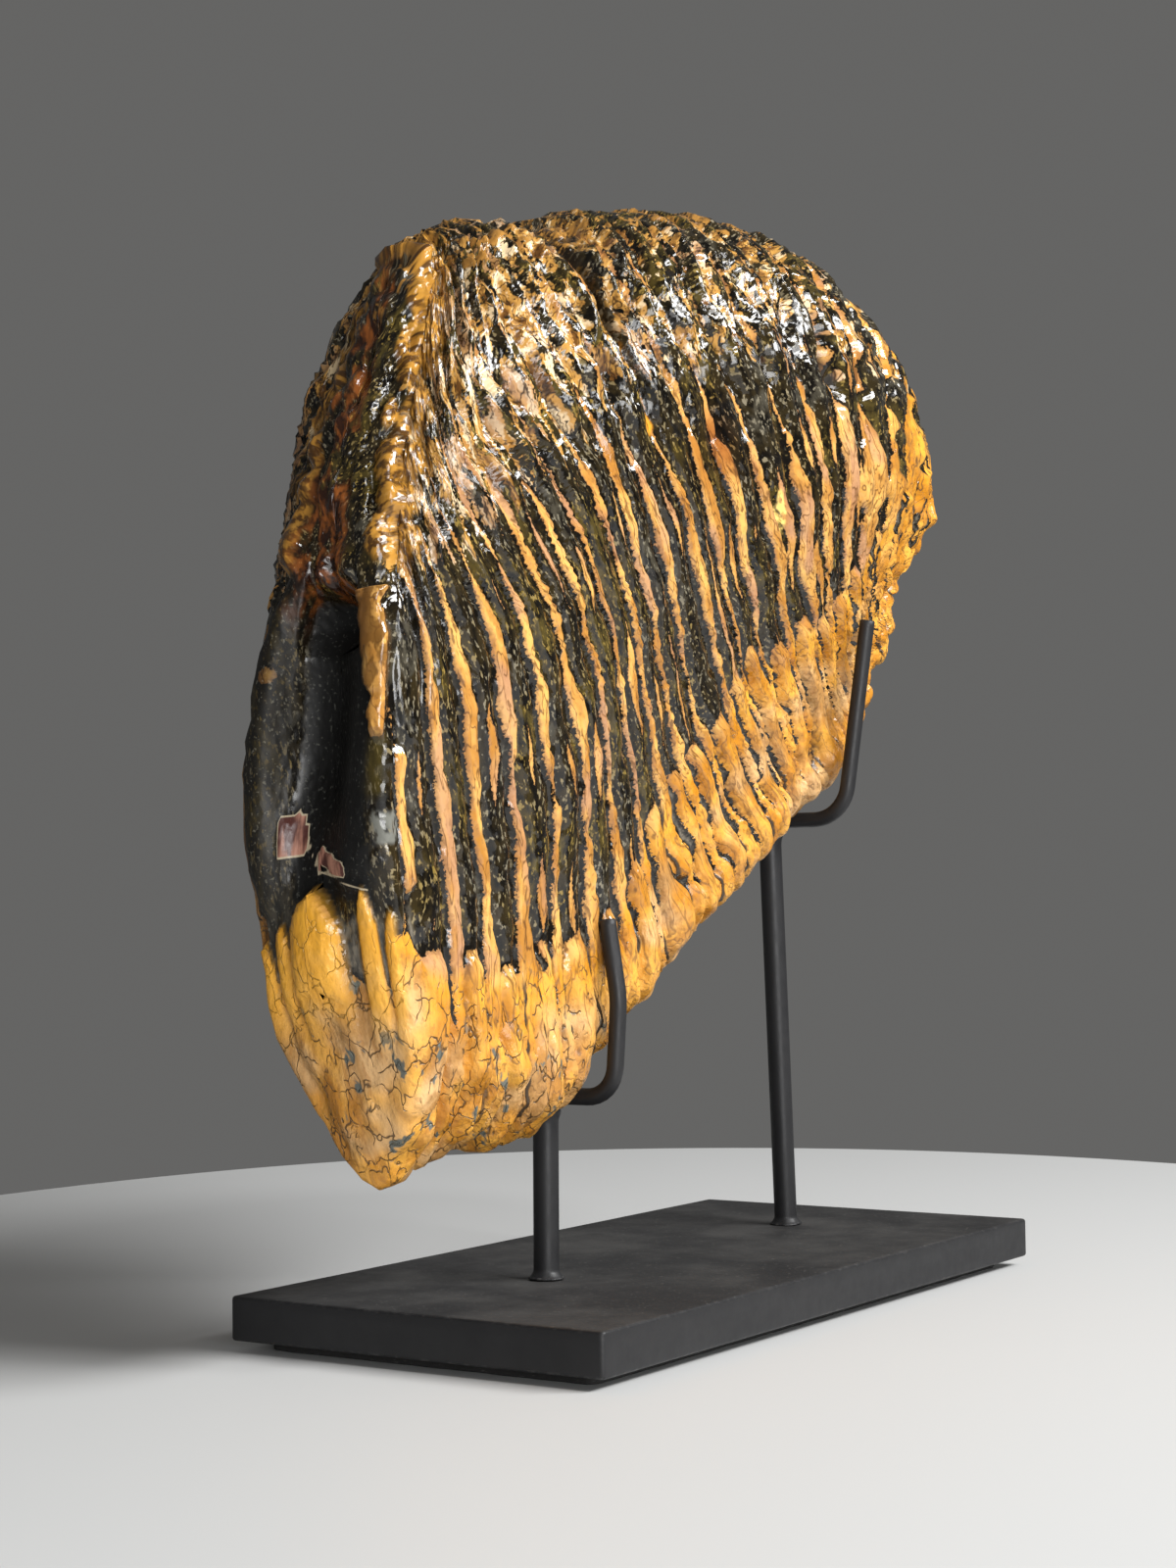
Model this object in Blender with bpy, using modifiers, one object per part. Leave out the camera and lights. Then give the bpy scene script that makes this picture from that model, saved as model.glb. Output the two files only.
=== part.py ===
"""A fossil mammoth molar resting in the two cradles of a welded steel stand.

Metres, +Z up. The origin is the centre of the soft pad's underside, on the table.
+X runs along the base plate, from the tooth's front end to its rear end.
+Y runs across the plate.
"""

import math

import bmesh
import bpy
import numpy as np
from mathutils import Matrix, Vector, noise

MM = 0.001
GAP = 0.3  # clear space between two pieces that touch, in mm

# The stand, in mm. Heights above the plate are counted from its top face.
PAD_LENGTH, PAD_WIDTH, PAD_THICK = 198.0, 88.0, 2.2
PLATE_LENGTH, PLATE_WIDTH, PLATE_THICK = 210.0, 100.0, 10.0
PLATE_EDGE_ROUND = 1.0
PLATE_TOP = PAD_THICK + GAP + PLATE_THICK
STAND_ACROSS = 1.4  # the posts and rods were welded this far off the plate's middle line
POST_RADIUS = 3.0
ROD_RADIUS = 2.0
WELD_HEIGHT, WELD_REACH = 1.6, 1.3
TURNED_STEPS = 16

FRONT_ROD_X, FRONT_ROD_HEIGHT = -49.5, 42.5
FRONT_POST_FOOT_X = -50.0
REAR_ROD_X, REAR_ROD_HEIGHT = 58.4, 108.0
REAR_POST_FOOT_X = 64.0

# One arm of each cradle, from its cut end down to the corner under the tooth: (across, height, bend radius).
FRONT_ARM = ((17.8, 83.3, 0.0), (20.6, 65.0, 25.0), (18.9, 42.5, 7.5))
REAR_ARM = ((30.4, 160.0, 0.0), (22.4, 108.0, 10.0))
BEND_STEPS = 4

# The tooth is a row of upright plates, counted from its front end (0) to its rear end (LAST_PLATE).
# Each plate's edge runs from the root line to the crown line. X and height are in mm.
LAST_PLATE = 21
ROOT_LINE = (
    (0, -113.0, 29.0),
    (2, -92.0, 34.0),
    (4, -70.0, 35.5),
    (5, -60.0, 38.5),
    (6, -47.0, 47.5),
    (9, -17.0, 67.5),
    (13, 26.0, 95.0),
    (16, 56.0, 111.5),
    (18, 71.0, 121.5),
    (20, 87.0, 146.0),
    (21, 97.0, 159.0),
)
CROWN_LINE = (
    (0, -108.0, 228.5),
    (4, -93.0, 235.0),
    (8, -65.0, 244.5),
    (13, -17.0, 255.0),
    (17, 36.0, 260.0),
    (19, 69.0, 254.0),
    (21, 93.0, 238.0),
)
# How far each plate bows forward (-X) between the two lines.
PLATE_BOW = (
    (0, -26.0),
    (2, -30.0),
    (5, -23.0),
    (8, -16.0),
    (10, -20.0),
    (13, -22.0),
    (16, -11.0),
    (18, -5.0),
    (21, 13.5),
)
# Each plate's greatest half thickness, and the share of it kept at the root and at the crown.
HALF_THICK = (
    (0, 19.5, 0.90, 0.54),
    (2, 23.0, 0.76, 0.80),
    (5, 27.0, 0.52, 1.0),
    (9, 31.0, 0.46, 1.0),
    (13, 35.0, 0.46, 1.0),
    (17, 36.0, 0.46, 1.0),
    (19, 32.0, 0.50, 1.0),
    (21, 24.0, 0.58, 1.0),
)
# Plate numbers where the strips between the bands cross STRIP_RISE, from the front edge to the rear edge.
STRIP_PLATES = (
    0, 0.8, 2.0, 3.0, 4.1, 5.2, 6.1, 7.0, 7.8, 8.7, 9.5, 10.5,
    11.6, 12.5, 13.3, 14.2, 15.3, 16.0, 16.9, 17.9, 18.9, 19.9, 21,
)
STRIP_RISE = 0.4
# A strip sweeps back and down from the front edge. At these rises it has moved this many plate numbers.
SWEEP_RISES = (0.1, STRIP_RISE, 0.55, 0.7, 0.85, 1.0)
SWEEP = (
    (0, -0.9, 0.0, -1.0, -3.5, -5.6, -6.8),
    (3, -0.7, 0.0, -0.3, -2.5, -4.9, -6.5),
    (6, 0.0, 0.0, -0.5, -1.9, -4.5, -6.2),
    (9, 1.5, 0.0, -0.7, -1.7, -3.2, -4.8),
    (13, 1.6, 0.0, -0.5, -1.0, -2.0, -2.6),
    (17, 2.1, 0.0, -0.2, -0.5, -0.8, -0.9),
    (21, 0.8, 0.0, 0.0, 0.0, 0.0, 0.0),
)
CROWDING = 0.08  # the least space between two rings of the skin, in plate numbers

FRONT_LEAN = 8.3  # the front end's upper half stands this far to the near side (-Y)
FACE_BULGE, REAR_BULGE = 6.0, 10.0
HOLLOW_DEPTH, HOLLOW_RISE = 14.0, 0.47  # the worn hollow in the front face

# Relief, in mm. Each plate shows as a broad band, and a narrow strip stands between two of them.
BAND_HEIGHT, STRIP_HEIGHT, GROOVE_DEPTH = 1.7, 2.8, 1.3
CROWN_BAND_GAIN, CROWN_STRIP_LOSS, CROWN_GROOVE_LOSS = 1.5, 2.4, 0.6
CLEFT_BAND, CLEFT_DEPTH = 12.5, 6.0
SLOT_BANDS, SLOT_DEPTH = (17.5, 18.5), 3.5
KNOB_SIZE, KNOB_HEIGHT = 8.0, 3.0
ROOT_LUMP_SIZE, ROOT_LUMP_HEIGHT = 9.0, 2.6
WAVE_SIZE, WAVE_HEIGHT = 22.0, 1.0

# The rings of the tooth's skin: places within a band, points up one flank, places across an end face.
RING_PHASES = (0.0, 0.2, 0.5, 0.8)
HEIGHT_STEPS = 21
FACE_STEPS = (0.0, 0.3, 0.55, 0.78, 0.93)


def smoothstep(low, high, value):
    """0 below low, 1 above high, and a smooth rise between."""
    part = np.clip((value - low) / (high - low), 0.0, 1.0)
    return part * part * (3.0 - 2.0 * part)


def bump(value, centre, reach):
    """1 at the centre, falling smoothly to nearly 0 at about twice the reach."""
    return np.exp(-(((value - centre) / reach) ** 2))


def spline(at, knots, column):
    """A smooth curve through one column of a table whose first column is the plate number."""
    table = np.array(knots)
    xs, ys = table[:, 0], table[:, column]
    slopes = np.gradient(ys, xs)
    cell = np.clip(np.searchsorted(xs, at, side="right") - 1, 0, len(xs) - 2)
    width = xs[cell + 1] - xs[cell]
    part = (at - xs[cell]) / width
    square, cube = part**2, part**3
    return (
        (2 * cube - 3 * square + 1) * ys[cell]
        + (cube - 2 * square + part) * width * slopes[cell]
        + (3 * square - 2 * cube) * ys[cell + 1]
        + (cube - square) * width * slopes[cell + 1]
    )


def plate_edge(plate, rise):
    """X and height of a plate's edge, at a rise from 0 on the root line to 1 on the crown line."""
    root_x, root_z = spline(plate, ROOT_LINE, 1), spline(plate, ROOT_LINE, 2)
    crown_x, crown_z = spline(plate, CROWN_LINE, 1), spline(plate, CROWN_LINE, 2)
    high_bow = 1.1 + 0.7 * smoothstep(0, 6, plate) * (1 - smoothstep(17, 21, plate))
    bow = spline(plate, PLATE_BOW, 1) * np.sin(np.pi * rise**high_bow)
    return root_x + (crown_x - root_x) * rise + bow, root_z + (crown_z - root_z) * rise


def half_thickness(plate, rise):
    """Half the tooth's thickness: narrow at the root, widest past the middle, rounded over at the crown."""
    root_share, crown_share = spline(plate, HALF_THICK, 2), spline(plate, HALF_THICK, 3)
    swell = root_share + (1 - root_share) * smoothstep(0.1, 0.62, rise)
    thinning = 1 - (1 - crown_share) * smoothstep(0.44, 0.76, rise)
    front = 1 - smoothstep(0, 4, plate)
    root_round = np.sin(np.pi / 2 * np.clip(rise / (0.07 + 0.13 * front), 0, 1)) ** (0.5 + 0.3 * front)
    crown_round = np.sqrt(1 - (1 - np.clip((1 - rise) / 0.3, 0, 1)) ** 2)
    return spline(plate, HALF_THICK, 1) * swell * thinning * root_round * crown_round


def middle_shift(plate, rise):
    """How far the tooth's middle surface stands off the plane Y = 0: the front end leans to the near side."""
    return -FRONT_LEAN * (1 - smoothstep(0, 7, plate)) * smoothstep(0.34, 0.7, rise)


def smooth_surface(plate, rise, side, inset):
    """Points of the tooth before its ridges, in mm. Side is -1 or 1, and inset is 1 except on the end faces."""
    cover = 1 - inset
    squeezed = 0.5 + (rise - 0.5) * (1 - 0.1 * cover)
    x, z = plate_edge(plate, squeezed)
    y = middle_shift(plate, squeezed) + side * inset * half_thickness(plate, squeezed)
    round_over = np.sqrt(np.clip(1 - inset**2, 0, 1))
    hollow = bump(squeezed, HOLLOW_RISE, 0.14) * bump(side * inset, 0.1, 0.6) * round_over
    front = -FACE_BULGE * round_over + HOLLOW_DEPTH * hollow
    rear = REAR_BULGE * round_over
    x = x + np.where(plate < LAST_PLATE / 2, front, rear)
    return np.stack([x, y, z], axis=-1)


def unit(vectors):
    """The same directions at length 1."""
    return vectors / np.maximum(np.linalg.norm(vectors, axis=-1, keepdims=True), 1e-9)


def noise_at(points, size, seed):
    """Smooth noise from about -1 to 1, whose lumps are about this many mm across."""
    flat = points.reshape(-1, 3) / size + seed
    values = [noise.noise(Vector(place)) for place in flat]
    return np.array(values).reshape(points.shape[:-1])


def knobs_at(points, size, seed):
    """Rounded knobs packed side by side: 1 at each knob's top, 0 in the creases between them."""
    flat = points.reshape(-1, 3) / size + seed
    nearest = [noise.voronoi(Vector(place))[0][0] for place in flat]
    return np.clip(1 - 1.4 * np.array(nearest).reshape(points.shape[:-1]) ** 2, 0, 1)


def ridges(number, rise):
    """Height of the plates' relief by strip number: whole on a strip, halves in the middle of a band."""
    across = np.abs(number - np.round(number))
    crown = smoothstep(0.6, 0.9, rise)
    band = (BAND_HEIGHT + CROWN_BAND_GAIN * crown) * (np.sin(np.pi * across) ** 0.7 - 0.6)
    strip = (STRIP_HEIGHT - CROWN_STRIP_LOSS * crown) * bump(across, 0, 0.1)
    groove = (GROOVE_DEPTH - CROWN_GROOVE_LOSS * crown) * bump(across, 0.2, 0.09)
    return band + strip - groove


def breaks(number, rise, side):
    """The tooth's damage: the cleft in the crown, and two deep slots on the near flank."""
    cleft = CLEFT_DEPTH * bump(number, CLEFT_BAND, 0.4) * smoothstep(0.74, 0.86, rise)
    slots = sum(bump(number, place, 0.25) for place in SLOT_BANDS)
    slots = slots * SLOT_DEPTH * smoothstep(0.68, 0.76, rise) * (1 - smoothstep(0.88, 0.95, rise))
    return -cleft - slots * (side < 0)


def tooth_relief(grid, points):
    """Everything that stands out of the smooth surface or cuts into it, in mm along its normal."""
    number, plate, rise, side, inset = grid
    flank = smoothstep(0.5, 0.95, inset)
    front_edge = bump(plate, 0, 2.0) * smoothstep(0.5, 0.62, rise)
    root = 1 - smoothstep(0.04, 0.2, rise)
    rear_root = smoothstep(17, 19, plate) * (1 - smoothstep(0.25, 0.5, rise))
    room = smoothstep(CROWDING, 2 * CROWDING, np.gradient(plate, axis=0)) * (0.4 + 0.6 * smoothstep(0, 0.07, rise))
    relief = flank * room * ridges(number, rise) + flank * breaks(number, rise, side)
    relief = relief + front_edge * KNOB_HEIGHT * (knobs_at(points, KNOB_SIZE, 3.1) - 0.5)
    relief = relief + (root + rear_root) * ROOT_LUMP_HEIGHT * noise_at(points, ROOT_LUMP_SIZE, 7.7)
    return relief + WAVE_HEIGHT * noise_at(points, WAVE_SIZE, 1.3)


def ring_stations():
    """Strip number and inset of each ring: across the front face, along every band, across the rear face."""
    last = len(STRIP_PLATES) - 1.0
    front = [(0.0, inset) for inset in FACE_STEPS]
    flanks = [(band + phase, 1.0) for band in range(int(last)) for phase in RING_PHASES]
    rear = [(last, inset) for inset in reversed(FACE_STEPS)]
    stations = np.array(front + flanks + [(last, 1.0)] + rear)
    return stations[:, 0], stations[:, 1]


def swept_plates(numbers, rises):
    """Plate number of each ring at each rise, following the strips' sweep and kept between the end faces."""
    start = np.interp(numbers, np.arange(len(STRIP_PLATES)), STRIP_PLATES)
    moves = np.stack([spline(start, SWEEP, column + 1) for column in range(len(SWEEP_RISES))])
    table = np.column_stack([SWEEP_RISES, moves])
    swept = np.stack([at + spline(rises, table, ring + 1) for ring, at in enumerate(start)])
    order = np.cumsum(np.diff(numbers, prepend=0) > 0)[:, None]
    return np.clip(swept, CROWDING * order, LAST_PLATE - CROWDING * (order[-1] - order))


def ring_points():
    """Rise and side of each point of a ring. A ring climbs the near side and comes down the far side."""
    climb = np.arange(HEIGHT_STEPS + 1) / HEIGHT_STEPS
    climb = 0.6 * climb + 0.4 * (0.5 - 0.5 * np.cos(np.pi * climb))
    rise = np.concatenate([climb, climb[-2:0:-1]])
    return rise, np.where(np.arange(len(rise)) <= HEIGHT_STEPS, -1.0, 1.0)


def tooth_points():
    """The grid of points, one row for each ring."""
    numbers, insets = ring_stations()
    rises, sides = ring_points()
    plate = swept_plates(numbers, rises)
    number, rise = np.meshgrid(numbers, rises, indexing="ij")
    inset, side = np.meshgrid(insets, sides, indexing="ij")
    smooth = smooth_surface(plate, rise, side, inset)
    along = np.gradient(smooth, axis=0)
    around = np.roll(smooth, -1, axis=1) - np.roll(smooth, 1, axis=1)
    normal = unit(np.cross(along, around))
    relief = tooth_relief((number, plate, rise, side, inset), smooth)
    return smooth + normal * relief[..., None]


def tooth_mesh():
    """The tooth as one closed skin. Each end face closes on a line, where its near and far halves meet."""
    points = tooth_points()
    rings, around = points.shape[:2]
    ring, step = np.meshgrid(np.arange(rings), np.arange(around), indexing="ij")
    ends = (ring == 0) | (ring == rings - 1)
    index = ring * around + np.where(ends, np.minimum(step, around - step), step)
    across = np.stack([index[:-1], np.roll(index[:-1], -1, 1), np.roll(index[1:], -1, 1), index[1:]], -1)
    faces = [list(dict.fromkeys(corners)) for corners in across.reshape(-1, 4).tolist()]
    mesh = bpy.data.meshes.new("mammoth_tooth")
    lifted = points.reshape(-1, 3) + (0, 0, PLATE_TOP)
    mesh.from_pydata((lifted * MM).tolist(), [], [corners for corners in faces if len(corners) > 2])
    return mesh


def tidy_mesh(mesh):
    """Drops loose points, makes faces look outwards and shades the mesh smooth."""
    work = bmesh.new()
    work.from_mesh(mesh)
    loose = [vertex for vertex in work.verts if not vertex.link_faces]
    bmesh.ops.delete(work, geom=loose, context="VERTS")
    bmesh.ops.recalc_face_normals(work, faces=work.faces)
    work.to_mesh(mesh)
    work.free()
    mesh.shade_smooth()


def new_object(name, data, collection):
    """An object for this data, in this collection."""
    piece = bpy.data.objects.new(name, data)
    collection.objects.link(piece)
    return piece


def new_material(name, color, roughness, metallic=0.0, coat=0.0):
    """A plain Principled material."""
    material = bpy.data.materials.new(name)
    material.use_nodes = True
    shader = material.node_tree.nodes["Principled BSDF"]
    shader.inputs["Base Color"].default_value = (*color, 1.0)
    shader.inputs["Roughness"].default_value = roughness
    shader.inputs["Metallic"].default_value = metallic
    shader.inputs["Coat Weight"].default_value = coat
    material.diffuse_color = (*color, 1.0)
    return material


def rounded_box(name, size, middle_height, edge_round, collection):
    """A flat bar or sheet, with its edges rounded by edge_round."""
    mesh = bpy.data.meshes.new(name)
    work = bmesh.new()
    bmesh.ops.create_cube(work, size=1.0, matrix=Matrix.Diagonal((*(side * MM for side in size), 1.0)))
    work.to_mesh(mesh)
    work.free()
    piece = new_object(name, mesh, collection)
    piece.location = (0, 0, middle_height * MM)
    if edge_round:
        bevel = piece.modifiers.new("edge_round", "BEVEL")
        bevel.width = edge_round * MM
        bevel.segments = 2
    return piece


def turned_post(name, foot_x, top_x, top_height, collection):
    """An upright round bar with a weld fillet round its foot and a bead round its top, leaning in X."""
    rise = top_height - GAP
    length = math.hypot(rise, top_x - foot_x)
    swollen = POST_RADIUS + WELD_REACH
    profile = (
        (0.0, length),
        (POST_RADIUS - 0.8, length),
        (POST_RADIUS + 0.5, length - 0.8),
        (POST_RADIUS + 0.5, length - WELD_HEIGHT),
        (POST_RADIUS, length - 2 * WELD_HEIGHT),
        (POST_RADIUS, WELD_HEIGHT),
        (POST_RADIUS + 0.4 * WELD_REACH, 0.4 * WELD_HEIGHT),
        (swollen, 0.0),
        (0.0, 0.0),
    )
    mesh = bpy.data.meshes.new(name)
    edges = [(corner, corner + 1) for corner in range(len(profile) - 1)]
    mesh.from_pydata([(radius * MM, 0, height * MM) for radius, height in profile], edges, [])
    post = new_object(name, mesh, collection)
    turn = post.modifiers.new("turned", "SCREW")
    turn.steps = turn.render_steps = TURNED_STEPS
    turn.use_merge_vertices = True
    turn.merge_threshold = 0.00001
    post.location = (foot_x * MM, STAND_ACROSS * MM, (PLATE_TOP + GAP) * MM)
    post.rotation_euler = (0, math.atan2(top_x - foot_x, rise), 0)
    return post


def bent_path(corners):
    """Points along straight runs joined by round bends. Each corner is (across, height, bend radius)."""
    path = [Vector(corners[0][:2])]
    for before, corner, after in zip(corners, corners[1:], corners[2:]):
        middle = Vector(corner[:2])
        arriving = (middle - Vector(before[:2])).normalized()
        leaving = (Vector(after[:2]) - middle).normalized()
        turn = arriving.angle_signed(leaving)
        reach = corner[2] * math.tan(abs(turn) / 2)
        start = middle - arriving * reach
        centre = start + Vector((-arriving.y, arriving.x)) * math.copysign(corner[2], -turn)
        for step in range(BEND_STEPS + 1):
            spin = Matrix.Rotation(-turn * step / BEND_STEPS, 2)
            path.append(centre + spin @ (start - centre))
    path.append(Vector(corners[-1][:2]))
    return path


def cradle_path(arm):
    """A cradle's route: down one arm, under the tooth, and up the mirrored arm."""
    mirrored = tuple((-across, height, radius) for across, height, radius in reversed(arm))
    return bent_path(arm + mirrored)


def bent_rod(name, arm, rod_x, radius, collection):
    """A round rod bent along a cradle's route, in the plane X = rod_x."""
    curve = bpy.data.curves.new(name, "CURVE")
    curve.dimensions = "3D"
    curve.bevel_depth = radius * MM
    curve.bevel_resolution = 2
    curve.use_fill_caps = True
    path = cradle_path(arm)
    line = curve.splines.new("POLY")
    line.points.add(len(path) - 1)
    for point, (across, height) in zip(line.points, path):
        point.co = (rod_x * MM, (across + STAND_ACROSS) * MM, (PLATE_TOP + height) * MM, 1.0)
    return new_object(name, curve, collection)


def rod_as_mesh(rod):
    """The rod as a closed mesh object with the same name, in the same collection."""
    graph = bpy.context.evaluated_depsgraph_get()
    mesh = bpy.data.meshes.new_from_object(rod.evaluated_get(graph))
    work = bmesh.new()
    work.from_mesh(mesh)
    bmesh.ops.remove_doubles(work, verts=work.verts, dist=0.000001)
    bmesh.ops.recalc_face_normals(work, faces=work.faces)
    work.to_mesh(mesh)
    work.free()
    name, collection = rod.name, rod.users_collection[0]
    place = rod.matrix_world.copy()
    bpy.data.objects.remove(rod)
    piece = new_object(name, mesh, collection)
    piece.matrix_world = place
    return piece


def clear_the_rods(tooth, cutters):
    """Cuts the room that the cradles' rods take out of the tooth where it rests on them."""
    for name, arm, rod_x in (("front_room", FRONT_ARM, FRONT_ROD_X), ("rear_room", REAR_ARM, REAR_ROD_X)):
        room = rod_as_mesh(bent_rod(name, arm, rod_x, ROD_RADIUS + GAP, cutters))
        room.hide_render = True
        room.display_type = "WIRE"
        cut = tooth.modifiers.new(name, "BOOLEAN")
        cut.operation = "DIFFERENCE"
        cut.object = room


def build_tooth(collection, cutters):
    """The tooth, with room for the rods."""
    mesh = tooth_mesh()
    tidy_mesh(mesh)
    tooth = new_object("mammoth_tooth", mesh, collection)
    mesh.materials.append(new_material("tooth", (0.33, 0.17, 0.05), 0.3, coat=0.6))
    clear_the_rods(tooth, cutters)
    return tooth


def build_base(collection, steel):
    """The flat plate and the soft pad under it."""
    plate_size = (PLATE_LENGTH, PLATE_WIDTH, PLATE_THICK)
    plate = rounded_box("base_plate", plate_size, PLATE_TOP - PLATE_THICK / 2, PLATE_EDGE_ROUND, collection)
    plate.data.materials.append(steel)
    pad = rounded_box("base_pad", (PAD_LENGTH, PAD_WIDTH, PAD_THICK), PAD_THICK / 2, 0, collection)
    pad.data.materials.append(new_material("pad", (0.02, 0.02, 0.02), 0.95))


def build_supports(collection, steel):
    """The two posts and the two bent rods on them."""
    seat = ROD_RADIUS + GAP
    front_top, rear_top = FRONT_ROD_HEIGHT - seat, REAR_ROD_HEIGHT - seat
    front = turned_post("front_post", FRONT_POST_FOOT_X, FRONT_ROD_X, front_top, collection)
    rear = turned_post("rear_post", REAR_POST_FOOT_X, REAR_ROD_X, rear_top, collection)
    front_cradle = bent_rod("front_cradle", FRONT_ARM, FRONT_ROD_X, ROD_RADIUS, collection)
    rear_cradle = bent_rod("rear_cradle", REAR_ARM, REAR_ROD_X, ROD_RADIUS, collection)
    for piece in (front, rear, front_cradle, rear_cradle):
        piece.data.materials.append(steel)


def main():
    for old in list(bpy.data.objects):
        bpy.data.objects.remove(old)
    collection = bpy.data.collections.new("mammoth_tooth_on_stand")
    cutters = bpy.data.collections.new("cutters")
    for group in (collection, cutters):
        bpy.context.scene.collection.children.link(group)
    steel = new_material("black_steel", (0.018, 0.018, 0.02), 0.4)
    build_base(collection, steel)
    build_supports(collection, steel)
    build_tooth(collection, cutters)


main()
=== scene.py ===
# %% [markdown]
# # A fossil mammoth molar on a welded steel stand
# A mammoth molar is a row of thin upright plates, each one a flattened pocket of hard dark enamel,
# glued to its neighbours by softer ochre cement. This one rests in two bent rods on a black stand.
# The lesson dresses a ready frame: the stand's pieces get finer edges and a powder-coat finish, and
# the tooth is built again on the same lines with its real relief, then painted with masks that
# follow its plates.

# %% Load the frame
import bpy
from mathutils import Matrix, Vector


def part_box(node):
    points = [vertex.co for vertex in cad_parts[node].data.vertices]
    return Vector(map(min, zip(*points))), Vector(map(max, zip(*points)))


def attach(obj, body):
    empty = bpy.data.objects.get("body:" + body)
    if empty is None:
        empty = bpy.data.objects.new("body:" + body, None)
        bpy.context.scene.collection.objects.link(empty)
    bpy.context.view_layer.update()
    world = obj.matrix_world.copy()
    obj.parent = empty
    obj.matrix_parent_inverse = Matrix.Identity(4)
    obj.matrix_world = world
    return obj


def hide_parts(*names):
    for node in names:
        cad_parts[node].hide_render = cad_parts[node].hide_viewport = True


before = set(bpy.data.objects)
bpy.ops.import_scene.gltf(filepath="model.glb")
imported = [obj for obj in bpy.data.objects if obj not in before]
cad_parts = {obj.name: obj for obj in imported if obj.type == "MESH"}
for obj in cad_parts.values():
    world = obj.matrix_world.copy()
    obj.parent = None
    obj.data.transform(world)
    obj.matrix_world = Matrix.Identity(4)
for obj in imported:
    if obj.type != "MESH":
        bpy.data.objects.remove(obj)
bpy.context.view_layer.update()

import math

import bpy
import numpy as np
from mathutils import Matrix, Vector, noise

MM = 0.001
PLATE_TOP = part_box("base_plate")[1][2] / MM
print("nodes in the frame:", sorted(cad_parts), "plate top at", round(PLATE_TOP, 2), "mm")

# %% [markdown]
# ## The camera
# The view looks at the tooth's near flank and its front end together, from a little above the
# table, through a long lens, so that the upright lines stay nearly parallel. The lens is slightly
# rolled, as a hand-held one is. A camera's matrix has its right, up and backward directions as
# columns, so the three are worked out from the heading, the pitch and the roll.

# %% Place the camera
CAMERA_PLACE = Vector((-560.27, -347.47, 89.71 + PLATE_TOP)) * MM
HEADING, PITCH, ROLL = math.radians(33.331), math.radians(2.332), math.radians(-0.739)
LENS_MM, SENSOR_MM, NEAREST = 60.75, 36.0, 10 * MM


def make_camera():
    """A camera aimed by heading (from +X towards +Y), pitch and roll."""
    forward = Vector((math.cos(HEADING), math.sin(HEADING), 0.0))
    level = Vector((math.sin(HEADING), -math.cos(HEADING), 0.0))
    ahead = math.cos(PITCH) * forward + math.sin(PITCH) * Vector((0.0, 0.0, 1.0))
    upward = level.cross(ahead)
    right = math.cos(ROLL) * level + math.sin(ROLL) * upward
    up = math.cos(ROLL) * upward - math.sin(ROLL) * level
    camera = bpy.data.objects.new("camera", bpy.data.cameras.new("camera"))
    camera.data.lens = LENS_MM
    camera.data.sensor_width = SENSOR_MM
    camera.data.clip_start = NEAREST
    columns = Matrix((right, up, -ahead)).transposed().to_4x4()
    camera.matrix_world = Matrix.Translation(CAMERA_PLACE) @ columns
    bpy.context.scene.collection.objects.link(camera)
    return camera


bpy.context.scene.camera = make_camera()
print("camera at", [round(value, 3) for value in CAMERA_PLACE])

# %% [markdown]
# ## Floor and light
# The floor is a pale oval table top. A long low window of light stands on the near side, well above
# the tooth: it rakes over the crown and throws the shadow to the far side, and every varnished bead
# mirrors some of it, which is what makes them sparkle. A large square light in front, level with
# the tooth, keeps the front end and the root readable. A small one high up adds glints on the
# crest, and a dim grey world fills the shadows. The picture is shown without any softening of its
# contrast.

# %% Lay the floor and hang the lights
TABLE_CENTRE, TABLE_LENGTH, TABLE_WIDTH, TABLE_THICK = (-131.0, -98.0), 1120.0, 714.0, 18.0
TABLE_SIDES, TABLE_COLOR, TABLE_ROUGHNESS = 160, (0.60, 0.605, 0.60), 0.5
WORLD_GREY = (0.130, 0.129, 0.126)
AIM = Vector((0.0, 0.0, 0.16))  # metres, the middle of the tooth
LIGHTS = (  # name, direction from the tooth, then distance, width and height in metres, and watts
    ("window_light", (0.16, -0.82, 0.55), 1.3, 0.95, 0.30, 31.0),
    ("front_light", (-0.62, -0.78, -0.03), 1.6, 0.70, 0.70, 19.0),
    ("top_light", (-0.10, -0.62, 0.78), 1.3, 0.16, 0.16, 3.0),
)


def simple_material(name, color, roughness):
    """A Principled material with one colour and roughness, to be refined by nodes."""
    material = bpy.data.materials.new(name)
    material.use_nodes = True
    shader = material.node_tree.nodes["Principled BSDF"]
    shader.inputs["Base Color"].default_value = (*color, 1.0)
    shader.inputs["Roughness"].default_value = roughness
    return material


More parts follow.
